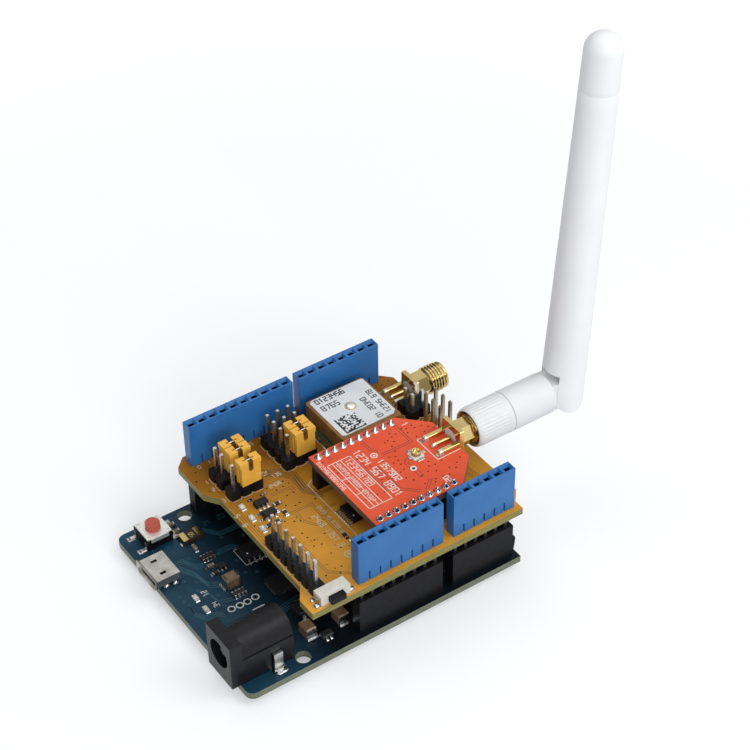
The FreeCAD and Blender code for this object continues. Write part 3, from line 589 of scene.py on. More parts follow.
b = Build()
for x, y in ((12.8, 37.25), (12.76, 24.6)):
    b.soft_block(x, y, 3.2, 1.24, 0, 0.55, 0.06, 0)
    for i in range(4):
        for s in (-1, 1):
            cx, cy = x + (i - 1.5) * 0.8, y + s * 0.66
            b.block(cx, cy, 0.44, 0.3, 0, 0.57, 1)
            fillet(b, cx, cy + s * 0.15, 0, s, 0.42, 0, 0.36, 0.34, 2)
for x, y, sx, sy in ((11.8, 32.2, 1.6, 0.8), (30, 12, 0.8, 1.6), (32, 12, 0.8, 1.6), (55, 20, 1.6, 0.8)):
    chip(b, x, y, sx, sy, 0, 0.45, 0.2)
for x, y, sx, sy, h in ((13.8, 33.2, 1.8, 1.3, 0.9), (20.8, 4.6, 2.6, 1.6, 1)):
    outline_pack(b, x, y, sx, sy, 0, h, 2, "x", 0.95, 0.35, 0.4, False)
b.make("chip_resistors", "resistor tin solder", "base_resistors")

b = Build()
b.soft_box(10.68, 15.22, 42.84, 45.66, 0.02, 1.17, 0.1, 0)
for x0, x1 in ((10.6, 11.9), (14, 15.3)):
    b.soft_box(x0, x1, 42.95, 45.55, 1.1, 1.22, 0.04, 1)
for x0, x1 in ((10.6, 10.8), (15.1, 15.3)):
    b.soft_box(x0, x1, 43, 45.5, 0, 1.2, 0.03, 1)
fillet(b, 10.62, 44.25, -1, 0, 2.7, 0, 0.7, 0.5, 2)
fillet(b, 15.28, 44.25, 1, 0, 2.7, 0, 0.7, 0.5, 2)
figures(b, 1.17, 1, ("50", 13.4, 43.35, 0.9, 90, 0.14))
b.make("board_fuse", "fuse gold solder", "base_fuse")

b = Build()
outline_pack(b, 21, 33.2, 4.9, 3.9, 0, 1.5, 4, "x", 1.27, 0.42, 1.05)
b.soft_box(18.5, 23.5, 19.5, 24.5, 0.02, 0.9, 0.08, 0)
for i in range(8):
    for s in (-1, 1):
        b.block(21 + (i - 3.5) * 0.5, 22 + s * 2.5, 0.26, 0.28, 0, 0.2, 1)
        b.block(21 + s * 2.5, 22 + (i - 3.5) * 0.5, 0.28, 0.26, 0, 0.2, 1)
b.make("base_chips", "chip tin solder silk", "base_ics")

b = Build()
b.soft_box(18.75, 25.25, 11.25, 14.75, 0.05, 1.7, 0.2, 0)
b.block(22, 15.4, 3, 1.3, 0, 0.35, 1)
for x in (19.7, 22, 24.3):
    wing(b, x, 11.27, 0, -1, 0.7, 0, 0.9, 1.05, 1)
    fillet(b, x, 10.22, 0, -1, 0.85, 0, 0.25, 0.35, 2)
fillet(b, 22, 16.05, 0, 1, 3.2, 0, 0.35, 0.4, 2)
b.make("regulator", "chip tin solder", "base_regulator")

b = Build()
for i in range(11):
    o = (i - 5) * 0.8
    for s in (-1, 1):
        wing(b, 44 + s * 4.45, 26 + o, s, 0, 0.35, 0, 0.6, 1, 0)
        wing(b, 44 + o, 26 + s * 4.45, 0, s, 0.35, 0, 0.6, 1, 0)
b.disc(41, 23, 0.4, 1.204, 1, 20)
b.make("controller_legs", "tin chip")


# Lamps on both boards: white cup, clear lens, plated ends
def lamp(b, x, y, z):
    b.soft_block(x, y, 1, 1.24, z, z + 0.5, 0.05, 0)
    b.dome(x, y, 0.4, 0.48, z + 0.48, 0.3, 3)
    for s in (-1, 1):
        b.block(x, y + s * 0.72, 0.92, 0.36, z, z + 0.3, 1)
        fillet(b, x, y + s * 0.88, 0, s, 0.95, z, 0.24, 0.36, 2)


b = Build()
for x, y in ((4.73, 28.5), (4.86, 24.6)):
    lamp(b, x, y, 0)
for x, y in ((19.56, 33.18), (19.53, 29.29), (19.7, 25.34)):
    lamp(b, x, y, SHIELD_TOP)
b.make("signal_lamps", "ivory tin solder lens", "leds")

# Shield board: traces, vias, outlines and figures
Z1 = SHIELD_TOP
b = Build()
for pts in (
        [(28.6, 40), (32.6, 38), (34, 35.6), (33.5, 31), (35.4, 27.4), (40, 27.4)],
        [(28.4, 39.3), (32, 37.2), (33.3, 35), (32.9, 30.4), (35.2, 26.9)],
        [(28.2, 38.7), (31.5, 36.4), (32.6, 34.4), (32.3, 29.9), (34.9, 26.4)]):
    lane(b, pts, 0.42, 0.17, Z1)
for pts in (
        [(26.4, 32.7), (31, 32.4), (31, 31.2)], [(24.9, 26), (31.7, 25.9), (31.6, 14)],
        [(27.7, 25.2), (27.6, 22.7), (29.2, 20.2), (30.8, 20)], [(32.4, 23.3), (35.8, 23.1)],
        [(32.5, 22.6), (32.7, 15.4)], [(20.6, 23.6), (23.4, 21), (23.6, 8), (27.6, 4.6)],
        [(17.9, 35.2), (17.9, 8.6)], [(18.4, 23.4), (18.4, 35.4), (22.6, 35.4)],
        [(27.2, 46), (31.6, 46), (31.9, 42)], [(41.2, 46.6), (42.4, 48.2), (44.6, 48.3)],
        [(41, 41), (42.6, 41)], [(62.4, 30), (62.4, 20), (63.6, 12), (63.6, 5)],
        [(63.3, 30), (63.3, 20.6), (64.6, 12.6), (64.6, 5.6)], [(60.8, 36), (62.6, 33.6), (62.6, 31.4)],
        [(60.2, 40), (61.6, 41.4), (66.4, 41.4)], [(44, 8), (52, 8), (58, 5)]):
    lane(b, pts, 0.5, 0.1, Z1)
VIAS = [
    (26.7, 35.1), (28.8, 35.5), (30.6, 35), (31.3, 33.8), (29.8, 33.6), (28.1, 33.5), (30.6, 30.9),
    (29, 30.9), (30, 27.6), (28.8, 27.4), (27.2, 28.5), (26.2, 27.3), (26.1, 23.6), (24.5, 24.7),
    (27.2, 23), (25.7, 18.2), (25.5, 19.8), (26.5, 16.8), (27, 15), (25.4, 15.4), (26.8, 7.6), (25.7, 6.3),
    (22.9, 7.2), (16.7, 41.1), (18.8, 27.1), (33.2, 26.7), (27.1, 11.8), (23.2, 14.8), (66, 50.7),
    (66.8, 48.8), (64.7, 48.4), (64.5, 46.5), (62.6, 47.4), (63.3, 50.2), (61, 48.7), (62.3, 39.6),
    (16, 45.2), (17.2, 47.6), (27.8, 44.2), (29.9, 47.4), (31, 4.8), (29.6, 12), (29.2, 17.2), (21.9, 11.6),
    (21.7, 16.3), (22, 20.4), (64.9, 17.2), (65.9, 20.4), (64.2, 7.6), (67, 10.4), (66.4, 32.6),
    (60.9, 31.9), (43, 31.2), (40.2, 48), (35, 48.2), (27.9, 49)]
for x, y in VIAS:
    b.disc(x, y, 0.2, Z1 + 0.008, 1, 12)
for x, y in VIAS + [(rnd.uniform(20, 62), rnd.uniform(6, 47)) for _ in range(50)]:
    b.turn_z(x, y, [(0.17, SHIELD_UNDER - 0.008), (0, SHIELD_UNDER - 0.008)], 1, 12, False)
for x0, x1, y0, y1 in ((24.9, 31.2, 17, 24.4), (24.6, 31.4, 6, 13.2)):
    for k in range(5):
        x = x0 + (x1 - x0) * rnd.random()
        b.disc(x, y0 + (y1 - y0) * k / 4, 0.14, Z1 + 0.008, 1, 10)
b.make("shield_traces", "gap_shield hollow")

b = Build()
b.strip([(35.7, 31.9), (34.15, 30.95), (34.15, 6.4)], 0.17, Z1, Z1 + 0.022)
rect(b, 16.8, 25.2, 0.5, 4.3, Z1, 0.12)
rect(b, 43.2, 60, 31.3, 48.1, Z1, 0.14)
rect(b, 61.3, 67.95, 46.4, 46.5, Z1, 0.1)
b.strip([(35, 16), (35, 21.2)], 0.12, Z1, Z1 + INK_T)
figures(b, Z1, 0, *((str(i), 21, y - 0.47, 1, 0) for i, (_, y) in enumerate(SERIAL)))
for row, y in ((FAR_10, 48.2), (NEAR_8, 4.6), (NEAR_6, 4.6)):
    figures(b, Z1, 0, *((str(i), x - 0.3, y, 0.95, 0) for i, (x, _) in enumerate(row)))
figures(b, Z1, 0, ("1", 17.4, 43.1, 1, 0), ("2", 17.4, 40.6, 1, 0), ("3", 17.4, 36.6, 1, 0),
        ("12", 29.3, 38.4, 1, 90), ("34", 29.3, 43.6, 1, 90), ("1", 61.6, 33.4, 1, 0),
        ("0123 45 6789 012", 32, 24.4, 0.85, -90, 0.11), ("2468 1357 9", 29.6, 22.6, 1.25, -90, 0.14),
        ("135", 29.6, 36.9, 0.95, 0), ("2468", 27.4, 34.6, 0.9, 0),
        ("5", 16.9, 31.8, 1.1, -90), ("6", 16.9, 28.6, 1.1, -90))
b.ring_z(29.9, 9.6, 0.75, 0.95, Z1, Z1 + INK_T, 0, 28)
b.ring_z(29.9, 9.6, 0, 0.35, Z1, Z1 + INK_T, 0, 20)
for k in range(9):
    b.box(17.15 + 0.28 * k, 17.28 + 0.28 * k, 5.5, 6.1, Z1, Z1 + INK_T)
# A line round each pin block that steps in at the joints between cells: g outside the cells, c for the step
for cells in (BLOCK_A[:2] + BLOCK_A[3:5] + BLOCK_A[6:8], BLOCK_A[2::3], BLOCK_B, SERIAL, QUAD):
    xs, ys = sorted({x for x, _ in cells}), sorted({y for _, y in cells})
    g, c = 0.3, 0.5
    near, far = HALF - c, HALF + g
    step = far - c
    loop = []
    for x in xs:
        loop += [(x - near, ys[0] - far), (x + near, ys[0] - far), (x + HALF, ys[0] - step)]
    for y in ys:
        loop += [(xs[-1] + far, y - near), (xs[-1] + far, y + near), (xs[-1] + step, y + HALF)]
    for x in reversed(xs):
        loop += [(x + near, ys[-1] + far), (x - near, ys[-1] + far), (x - HALF, ys[-1] + step)]
    for y in reversed(ys):
        loop += [(xs[0] - far, y + near), (xs[0] - far, y - near), (xs[0] - step, y - HALF)]
    b.strip(loop + loop[:1], 0.11, Z1, Z1 + INK_T)
b.make("shield_silk", "shield_silk")

# Solder at both faces of the shield
b = Build()
for pins, n, prof in (
        (EDGE_PINS + ISP_PINS, 18, [(0.86, 12.08), (0.66, 11.98), (0.5, 11.72), (0.42, 11.4), (0.35, 11.1)]),
        (BLOCK_A + BLOCK_B + SERIAL + QUAD, 18,
         [(0.82, 12.08), (0.6, 11.96), (0.45, 11.7), (0.36, 11.2), (0.26, 10.9), (0, 10.85)]),
        (RADIO_PINS, 16, [(0.7, 12.08), (0.5, 11.96), (0.36, 11.7), (0.22, 11.3), (0, 11.2)]),
        (ISP_PINS, 18, [(0.86, 13.72), (0.66, 13.82), (0.48, 14.05), (0.36, 14.4)])):
    for x, y in pins:
        b.turn_z(x, y, prof, 0, n)
b.make("shield_solder", "solder")

# Small parts of the shield
b = Build()
for x, y, sx, sy in (
        (25.9, 29.9, 1.6, 0.8), (21.2, 25.4, 1.6, 0.8), (23.2, 25.4, 1.6, 0.8), (25.9, 26.7, 0.8, 1.6),
        (32.1, 14.2, 0.8, 1.6), (41, 12.5, 1.6, 0.8), (56, 26, 1.6, 0.8), (61.3, 44.5, 1.6, 0.8)):
    chip(b, x, y, sx, sy, Z1, 0.45, 0.2)
for x, y, sx, sy in ((22.1, 33.9, 1, 0.5), (21.6, 29.4, 1, 0.5), (21.3, 27.5, 1, 0.5)):
    chip(b, x, y, sx, sy, Z1, 0.35, 0.22)
for x, y, sx, sy in ((25.2, 33.8, 1, 0.55), (24.9, 28.3, 0.55, 1), (33, 12.6, 1, 0.5)):
    chip(b, x, y, sx, sy, Z1, 0.42, 0.22, (3, 1, 2))
b.make("shield_chip_resistors", "resistor tin solder ceramic", "shield_resistors")

b = Build()
outline_pack(b, 37.6, 18.6, 4.4, 5, Z1, 1.1, 8, "y", 0.65, 0.26, 0.95)
for x, y in ((23.2, 31.7), (23, 28.2)):
    b.soft_block(x, y, 2.9, 1.6, Z1 + 0.06, Z1 + 1.1, 0.1, 0)
    for dx, s in ((-0.95, 1), (0.95, 1), (0, -1), (-0.95, -1), (0.95, -1)):
        wing(b, x + dx, y + s * 0.78, 0, s, 0.38, Z1, 0.6, 0.6, 1)
        fillet(b, x + dx, y + s * 1.38, 0, s, 0.45, Z1, 0.16, 0.25, 2)
b.make("shield_chips", "chip tin solder silk", "shield_ics")


# Stacking headers: notched foot, funnel mouths, passages with painted shade
def stack_header(b, cells, z0, z1):
    notch, deep, zn = 0.2, 0.5, z0 + 2.4
    mouth = ((HALF, HALF, z1), (0.98, 0.92, z1), (0.66, 0.42, z1 - 0.7), (0.66, 0.42, z1 - 4))
    last = len(cells) - 1
    for i, (x, y) in enumerate(cells):
        xa, xb = x - HALF, x + HALF
        l, r = (notch if i else 0), (notch if i < last else 0)
        for s in (-1, 1):
            yo, yi = y + s * HALF, y + s * (HALF - deep)
            p = [(xa + l, z0), (xb - r, z0)] + ([(xb - r, zn), (xb, zn)] if r else [])
            p += [(xb, z1), (xa, z1)] + ([(xa, zn), (xa + l, zn)] if l else [])
            b.face([(u, yo, w) for u, w in p])
            for on, edge, mid in ((l, xa + l, xa), (r, xb - r, xb)):
                if on:
                    b.face([(edge, yo, z0), (edge, yi, z0), (edge, yi, zn), (edge, yo, zn)])
                    b.face([(edge, yo, zn), (edge, yi, zn), (mid, yi, zn), (mid, yo, zn)])
                    b.face([(edge, yi, z0), (mid, yi, z0), (mid, yi, zn), (edge, yi, zn)])
        y0, y1 = y - HALF, y + HALF
        q = [(xa + l, y0), (xb - r, y0)]
        q += [(xb - r, y0 + deep), (xb, y0 + deep), (xb, y1 - deep), (xb - r, y1 - deep)] if r else []
        q += [(xb - r, y1), (xa + l, y1)]
        q += [(xa + l, y1 - deep), (xa, y1 - deep), (xa, y0 + deep), (xa + l, y0 + deep)] if l else []
        b.face([(u, v, z0) for u, v in q])
        loops = [[(x - ax, y - ay, z), (x + ax, y - ay, z), (x + ax, y + ay, z), (x - ax, y + ay, z)]
                 for ax, ay, z in mouth]
        for k, (lo, hi) in enumerate(zip(loops, loops[1:])):
            for j in range(4):
                m = (j + 1) % 4
                # Material 1, on the passage walls and floor, is painted shade.
                b.face([lo[j], lo[m], hi[m], hi[j]], 1 if k == 2 else 0)
        b.face(loops[3], 1)
    for x in (cells[0][0] - HALF, cells[-1][0] + HALF):
        y = cells[0][1]
        b.face([(x, y - HALF, z0), (x, y + HALF, z0), (x, y + HALF, z1), (x, y - HALF, z1)])


for size, rows in (("10", [FAR_10]), ("8", [NEAR_8, FAR_8]), ("6", [NEAR_6])):
    b = Build()
    for cells in rows:
        stack_header(b, cells, SHIELD_TOP, SHIELD_TOP + 10.7)
    b.make("blue_header_" + size, "blue blue_deep", "stack_header_" + size, 0.06, True)

# Jumper caps: a channel over the top along y, a cross slit with the spring strip, grooved ends
CAPS = [(23.81, 43.44), (23.81, 40.9), (23.81, 36.9), (37.91, 38.2), (37.91, 40.74)]
CAP_TOP = SHIELD_TOP + 8.5


def jumper_form(x, y):
    cap = shape_box("cap", x - 2.25, x + 2.25, y - 1.17, y + 1.17, CAP_TOP - 6, CAP_TOP - 0.5)
    top = shape_box("top", x - 2.5, x + 2.5, y - 1.13, y + 1.13, CAP_TOP - 1.25, CAP_TOP)
    cap = combine(cap, top, "UNION")
    w, low, arc = 0.54, CAP_TOP - 2.5, [math.pi * k / 10 for k in range(11)]
    round_foot = [(-w * math.cos(a), low + w * (1 - math.sin(a))) for a in arc]
    front = [(-w, CAP_TOP + 1)] + round_foot + [(w, CAP_TOP + 1)]
    b = Build()
    b.between(*([(x + u, y + s, h) for u, h in front] for s in (-2, 2)))
    cap = combine(cap, b.form("channel"), "DIFFERENCE")
    cuts = [(x, 2.5, 0.5, CAP_TOP - 1.3, CAP_TOP + 1)]
    for s in (-1, 1):
        cuts.append((x + s * 2.25, 0.5, 0.7, CAP_TOP - 7, CAP_TOP - 1.25))
        cuts.append((x + s * HALF, 0.8, 1, CAP_TOP - 7, CAP_TOP - 1.45))
    for cx, sx, sy, z0, z1 in cuts:
        tool = shape_box("tool", cx - sx / 2, cx + sx / 2, y - sy / 2, y + sy / 2, z0, z1)
        cap = combine(cap, tool, "DIFFERENCE")
    return cap


forms = [jumper_form(x, y) for x, y in CAPS]
bm = bmesh.new()
for form in forms:
    bm.from_mesh(form.data)
    bpy.data.objects.remove(form)
shells = link("jumper_shells", bpy.data.meshes.new("jumper_shells"))
bm.to_mesh(shells.data)
bm.free()
finish_piece(shells, M["amber"], ROOT, "jumper_caps", 0.14)
shells.data.materials.append(M["amber_dark"])
# Faces inside each channel near the cap's middle take the darker amber: painted shade.
middles = [spot(x, 0, 0).x for x, _ in CAPS]
for p in shells.data.polygons:
    if min(abs(p.center.x - x) for x in middles) < 0.56 * MM and abs(p.normal.y) < 0.5:
        p.material_index = 1
b = Build()
for x, y in CAPS:
    b.soft_block(x, y, 1.44, 0.24, CAP_TOP - 1.3, CAP_TOP - 0.22, 0.05, 0)
    # A dark amber block below the spring strip: painted shade in the slit.
    b.soft_block(x, y, 2.46, 0.4, CAP_TOP - 1.3, CAP_TOP - 0.75, 0.05, 1)
b.make("jumper_springs", "tin amber_dark", "jumper_clips")

# Radio board: isolation lines, vias, table lines, solder
Z2 = RADIO_TOP
b = Build()
for pts in (
        [(45.9, 28.6), (45.95, 25.2), (46.6, 24.5), (46.6, 23.9)],
        [(54.3, 28.6), (54.3, 22.6), (47.2, 22.6)], [(42.05, 23.2), (42.05, 13.4)],
        [(44.1, 20), (44.2, 12.3), (47.3, 9.4)], [(48.6, 9), (51, 11.2)], [(37.6, 28.4), (37.9, 27.4)]):
    lane(b, pts, 0.55, 0.13, Z2)
loop = [(51.6, 18.7), (50.4, 18.45), (49.75, 17.8), (49.55, 16.9), (49.75, 16.2)]
lane(b, loop, 0.7, 0.13, Z2)
lane(b, [(50, 14.9), (50.05, 12.9)], 0.8, 0.13, Z2)
turn = [(50.05 + 0.4 * math.cos(a), 12.9 - 0.4 * math.sin(a)) for a in (0, 0.6, 1.2, 1.94, 2.54, 3.14)]
b.strip(turn, 0.13, Z2, Z2 + LANE_T)
for x, y in [
        (57.2, 26.6), (58.9, 25.4), (55.7, 26.3), (57.3, 25.6), (58.3, 23.5), (54.9, 26.9), (55.2, 25.1),
        (56, 23.1), (52, 27.1), (53, 26.2), (51.8, 25.9), (49.6, 25.3), (50.5, 25.5), (51.4, 24.6),
        (50.2, 23.6), (49.8, 21.9), (46.1, 20.9), (47.9, 21.2), (49, 20.6), (48.8, 19.4), (46.3, 19.5),
        (47.6, 19.2), (48.6, 18.1), (48.2, 16.5), (47.2, 16.2), (53.6, 15.6), (52.9, 14.4), (54.2, 14.1),
        (53.3, 12.4), (55.9, 14.3), (56, 11.7), (57.1, 10.9), (54.9, 10), (51.8, 10.5), (51.8, 13.2),
        (51.2, 9.8), (53.4, 10.2), (49.2, 10.6), (48, 12.8), (47.1, 14.2), (43.2, 21.2), (42.9, 16.6),
        (41.2, 13.3), (44.9, 15.6), (43.1, 18), (36.7, 23.3), (36.7, 24.6), (36.7, 19.5), (36.9, 13.6),
        (39.7, 13.6), (42.2, 24.5), (35.9, 27.6), (54.7, 8.6), (59.8, 24.3), (60.6, 23.4), (59.6, 12.9),
        (58.2, 12), (50.05, 12.9)]:
    b.disc(x, y, 0.18, Z2 + 0.008, 1, 12)
b.ring_z(49.95, 15.6, 0.34, 0.72, Z2, Z2 + 0.03, 2, 28)
b.disc(49.95, 15.6, 0.34, Z2 + 0.01, 1, 20)
b.make("radio_traces", "gap_radio hollow silk")

b = Build()
rect(b, 36, 41.5, 11, 26.2, Z2, 0.16)
for x in (37.2, 38.2, 39.2):
    b.box(x - 0.08, x + 0.08, 11, 26.2, Z2, Z2 + INK_T)
for y in (15.8, 20.9):
    b.box(36, 38.2, y - 0.08, y + 0.08, Z2, Z2 + INK_T)
b.strip([(61.2, 22.2), (55.5, 22.2), (55.5, 14.9), (61.2, 14.9)], 0.17, Z2, Z2 + 0.022)
figures(b, Z2, 0, ("1", 55.6, 28, 1.3, -90, 0.2), ("20", 54.3, 8.4, 1.2, 90, 0.18),
        ("0123456789012345", 34.7, 28.2, 0.8, -90, 0.11),
        ("012345 678901 234567", 37.7, 25.4, 0.85, -90, 0.11),
        ("123456789", 39.75, 25.5, 1.35, -90, 0.15), ("1234 567 8901", 42.45, 26.6, 1.6, -90, 0.2),
        ("1357902", 45, 21.5, 1.35, -90, 0.2))
b.ring_z(45.6, 23.4, 0.55, 0.78, Z2, Z2 + INK_T, 0, 28)
b.ring_z(45.6, 23.4, 0, 0.25, Z2, Z2 + INK_T, 0, 16)
b.make("radio_silk", "silk")

b = Build()
for x, y in RADIO_PINS:
    b.turn_z(x, y, [(r, Z2 + h) for r, h in ((0.84, 0), (0.84, 0.03), (0.72, 0.08), (0.6, 0.25), (0.46, 0.5),
                                             (0.34, 0.74), (0.25, 0.92), (0.13, 1.02), (0, 1.05))], 0, 22)
    b.turn_z(x, y, [(0, 19.72), (0.34, 19.74), (0.52, 19.8), (0.72, 19.88)], 0, 18)
b.make("radio_solder", "dark_solder")

# Coaxial test socket on the radio board
b = Build()
x, y = 52.6, RADIO_Y
b.soft_block(x, y, 2.6, 2.6, Z2, Z2 + 0.4, 0.12, 1)
for dx, dy, sx, sy in ((0, 1.55, 1.7, 0.9), (0, -1.55, 1.7, 0.9), (1.75, 0, 0.8, 0.8), (-1.55, 0, 0.6, 0.7)):
    b.soft_block(x + dx, y + dy, sx, sy, Z2, Z2 + 0.16, 0.05, 2)
for n, prof in (
        (40, ((0.72, 0.4), (1, 0.42), (1, 0.7), (0.92, 0.78), (0.92, 0.98), (1, 1.06), (1, 1.18),
              (0.95, 1.25), (0.8, 1.25), (0.75, 1.18), (0.75, 0.45), (0.3, 0.42))),
        (20, ((0.24, 0.4), (0.24, 0.92), (0.16, 1), (0, 1)))):
    b.turn_z(x, y, [(r, Z2 + h) for r, h in prof], 0, n)
b.make("coax_test_socket", "gold ptfe solder", "coax_socket")

# Radio module under its board: edge pads, and marks on the can
b = Build()
for i in range(11):
    for s in (-1, 1):
        b.block(47.5 + (i - 5) * 1.5, RADIO_Y + s * 8.65, 0.8, 0.6, 19.05, 19.13, 0)
for i in range(3):
    for j in range(3):
        b.turn_z(43 + 4.5 * i, RADIO_Y + (j - 1) * 5, [(0.5, 17.09), (0, 17.09)], 1, 16, False)
b.make("module_pads", "gold hollow")

# Satellite receiver: silvered face with a dark rim, feed blob, edge pads
b = Build()
gx, gy, g0, g2 = 51.6, 39.75, SHIELD_TOP, SHIELD_TOP + 6.3
px, py = gx - 0.25, gy - 0.25
plate = ((-6.2, -6.35), (6, -6.35), (7, -5.35), (7, 6.7), (6.6, 7), (-6, 7), (-6.7, 6.3), (-6.7, -5.9))
b.prism([(px + dx, py + dy) for dx, dy in plate], g2 - 0.02, g2 + 0.08)
b.dome(gx - 0.35, gy + 0.6, 1.05, 1.05, g2 + 0.05, 0.45, 1, 28)
b.ring_z(gx - 0.35, gy + 0.6, 1.08, 1.3, g2 + 0.06, g2 + 0.11, 2, 32)
top = g2 + 0.08
figures(b, top, 3,
        ("0123456", px - 5.6, py + 5.2, 1.35, 0, 0.26), ("8765", px - 5.6, py + 2.6, 1.45, 0, 0.22),
        ("12345 678", px + 6.3, py - 5.2, 1.2, 90, 0.2), ("01 20340", px + 3.9, py - 5.6, 1.2, 90, 0.2))
cell = 0.36
for i in range(14):
    for j in range(14):
        if i == 0 or j == 0 or (i * i * 3 + j * j * 5 + i * j * 7 + 2 * i) % 11 < 5:
            b.block(px - 5.4 + cell * i, py - 5.85 + cell * j, cell, cell, top, top + 0.012, 3)
b.make("receiver_face", "silvered plate gold ink", "gps_cover")

b = Build()
w, r = 7.4, 0.8
b.prism([(px + cx * (w - r) + r * math.cos(math.radians(a0 + 15 * k)),
          py + cy * (w - r) + r * math.sin(math.radians(a0 + 15 * k)))
         for cx, cy, a0 in ((1, 1, 0), (-1, 1, 90), (-1, -1, 180), (1, -1, 270)) for k in range(7)],
        g0 + 2.3, g2)
b.make("receiver_patch", "patch", "gps_patch", 0.14)

b = Build()
for i in range(6):
    for s in (-1, 1):
        y = gy + (i - 2.5) * 2.4
        b.block(gx + s * 7.98, y, 0.12, 0.9, g0, g0 + 0.9, 0)
        fillet(b, gx + s * 8.02, y, s, 0, 0.9, g0, 0.5, 0.45, 1)
b.soft_block(gx, gy, 14.6, 14.6, g0 + 2.25, g0 + 2.5, 0.1, 2)
b.make("receiver_pads", "gold solder can")


# Coaxial sockets with turned threads
def coax(b, x, y, top, wide):
    """A socket at the board edge x, its flange wide. Materials: 0 gold, 1 insulator, 2 contact, 3 solder."""
    z = top + 0.45
    b.soft_box(x, x + 1.2, y - wide / 2, y + wide / 2, z - 3.2, z + 3.2, 0.1, 0)
    b.add([(x + h, y + 2.94 * k * p, z + 2.94 * k * q) for h, k in ((1.2, 1), (4.15, 1), (4.3, 0.95))
           for p, q in around(6)], bands(3, 6) + [tuple(range(12, 18))], 0)
    prof = [(2.1, 4.2), (2.62, 4.2), (2.78, 4.3), (3.14, 4.62), (3.17, 4.72)]
    for k in range(4):
        a = 4.78 + 0.7056 * k
        prof += [(3.1, a + 0.06), (2.86, a + 0.2), (2.82, a + 0.28), (2.88, a + 0.36), (3.12, a + 0.5),
                 (3.17, a + 0.58), (3.17, a + 0.66)]
    prof += [(3.1, 7.7), (2.86, 7.86), (2.82, 7.98), (2.92, 8.1), (3.02, 8.16), (3.04, 8.3), (3.04, 8.68),
             (2.98, 8.82), (2.84, 8.9), (2.4, 8.9), (2.2, 8.75), (2.2, 6.9)]
    tip = [(0.62, 6.6), (0.62, 7.8), (0.5, 8), (0.34, 8), (0.34, 6.9), (0, 6.9)]
    tail = [(0, -4.4), (0.34, -4.3), (0.42, -4.1), (0.42, 0.1)]
    for line, mat, n, smooth in (
            (prof, 0, 72, True), ([(2.2, 7), (0.75, 7), (0.75, 6.7)], 1, 48, False),
            ([(0, -0.012), (1.95, -0.012)], 1, 40, False), (tip, 2, 28, True), (tail, 2, 24, True)):
        b.turn_x(y, z, [(r, x + h) for r, h in line], mat, n, smooth)
    under = top - BOARD_T
    for s in (-1, 1):
        yc = y + s * (wide - 1) / 2
        for z0 in (top, under - 1):
            b.soft_box(x - 5.1, x + 0.1, yc - 0.5, yc + 0.5, z0, z0 + 1, 0.08, 0)
        b.soft_box(x - 5.12, x - 3.9, yc - 0.52, yc + 0.52, top, top + 1.04, 0.2, 3)
        fillet(b, x - 5.1, yc, -1, 0, 0.9, top, 0.8, 0.5, 3)
        for side in (-1, 1):
            fillet(b, x - 4.5, yc + side * 0.5, 0, side, 1.2, top, 0.5, 0.12, 3)
            fillet(b, x - 2.6, yc + side * 0.5, 0, side, 4.4, under - 0.3, 0.3, 0.28, 3)
    b.dome(x - 4, y, 1, 0.5, top, 0.92, 3, 20)


b = Build()
coax(b, 68.3, 43.45, SHIELD_TOP, 5.2)
coax(b, RADIO_X1, RADIO_Y, RADIO_TOP, 6.2)
b.make("coaxial_sockets", "gold ptfe gold bright_solder", "sma_bodies sma_insulators sma_contacts")

# Antenna nut: 36 flutes outside, an inner thread in its mouth
NUT0, NUT1, ELBOW1 = 65.8, 74.9, 85.7
FLUTES, FLUTE_DEEP = 36, 0.06
b = Build()
n, v = 216, []
for x, r, wave in (
        (NUT0 + 0.9, 3.7, 0), (NUT0 + 0.07, 3.84, 0), (NUT0, 3.95, 0), (NUT0 + 0.1, 4.1, 0),
        (NUT0 + 0.45, 4.25, 0.2), (NUT0 + 0.9, 4.34, 0.7), (NUT0 + 1.4, 4.37, 1), (NUT1 - 1.6, 4.38, 1),
        (NUT1 - 1.3, 4.43, 0.3), (NUT1 - 1, 4.46, 0), (NUT1 - 0.16, 4.48, 0), (NUT1 - 0.03, 4.4, 0),
        (NUT1, 4.25, 0), (NUT1, 2.36, 0)):
    for i, (c, s) in enumerate(around(n)):
        out = r + FLUTE_DEEP * wave * math.cos(FLUTES * 2 * math.pi * i / n)
        v.append((x, RADIO_Y + out * c, AXIS_Z + out * s))
b.add(v, bands(len(v) // n, n), 0, True)
prof = [(3.83, NUT0 + 0.06), (3.72, NUT0 + 0.1), (3.66, NUT0 + 0.9), (3.24, NUT0 + 1)]
for k in range(7):
    a = NUT0 + 1 + 0.62 * k
    prof += [(3.2, a + 0.1), (3.36, a + 0.32), (3.2, a + 0.56)]
b.turn_x(RADIO_Y, AXIS_Z, prof, 1, 96)
b.make("fluted_nut", "white gold", "antenna_nut")


# Antenna elbow: a barrel, the tongue with its web, the spigot and the bore for the hinge pin
def hinge_box(name, dx0, dx1, dy, z0, z1):
    x, y, _ = HINGE
    return shape_box(name, x + dx0, x + dx1, y - dy, y + dy, z0, z1)


elbow = shape_cyl("elbow", "x", NUT1 + 0.1, ELBOW1, 4.5, 176, 0.18, 0.35)
tongue = shape_cyl("tongue", "y", RADIO_Y - 2.85, RADIO_Y + 2.85, 3.4, 120, 0.25, 0.25)
web = hinge_box("web", ELBOW1 - 1 - HINGE[0], 0, 2.84, AXIS_Z - 3.39, AXIS_Z + 3.39)
elbow = combine(elbow, combine(tongue, web, "UNION"), "UNION")
elbow = combine(elbow, shape_cyl("spigot", "x", RADIO_X1 + 9.8, NUT1 + 0.5, 2.3, 64), "UNION")
elbow = combine(elbow, shape_cyl("bore", "y", RADIO_Y - 9, RADIO_Y + 9, 1.05, 48), "DIFFERENCE")
# The elbow takes the darker copy of the white plastic: painted shade.
finish_piece(elbow, M["white"], ARM, "antenna_elbow")

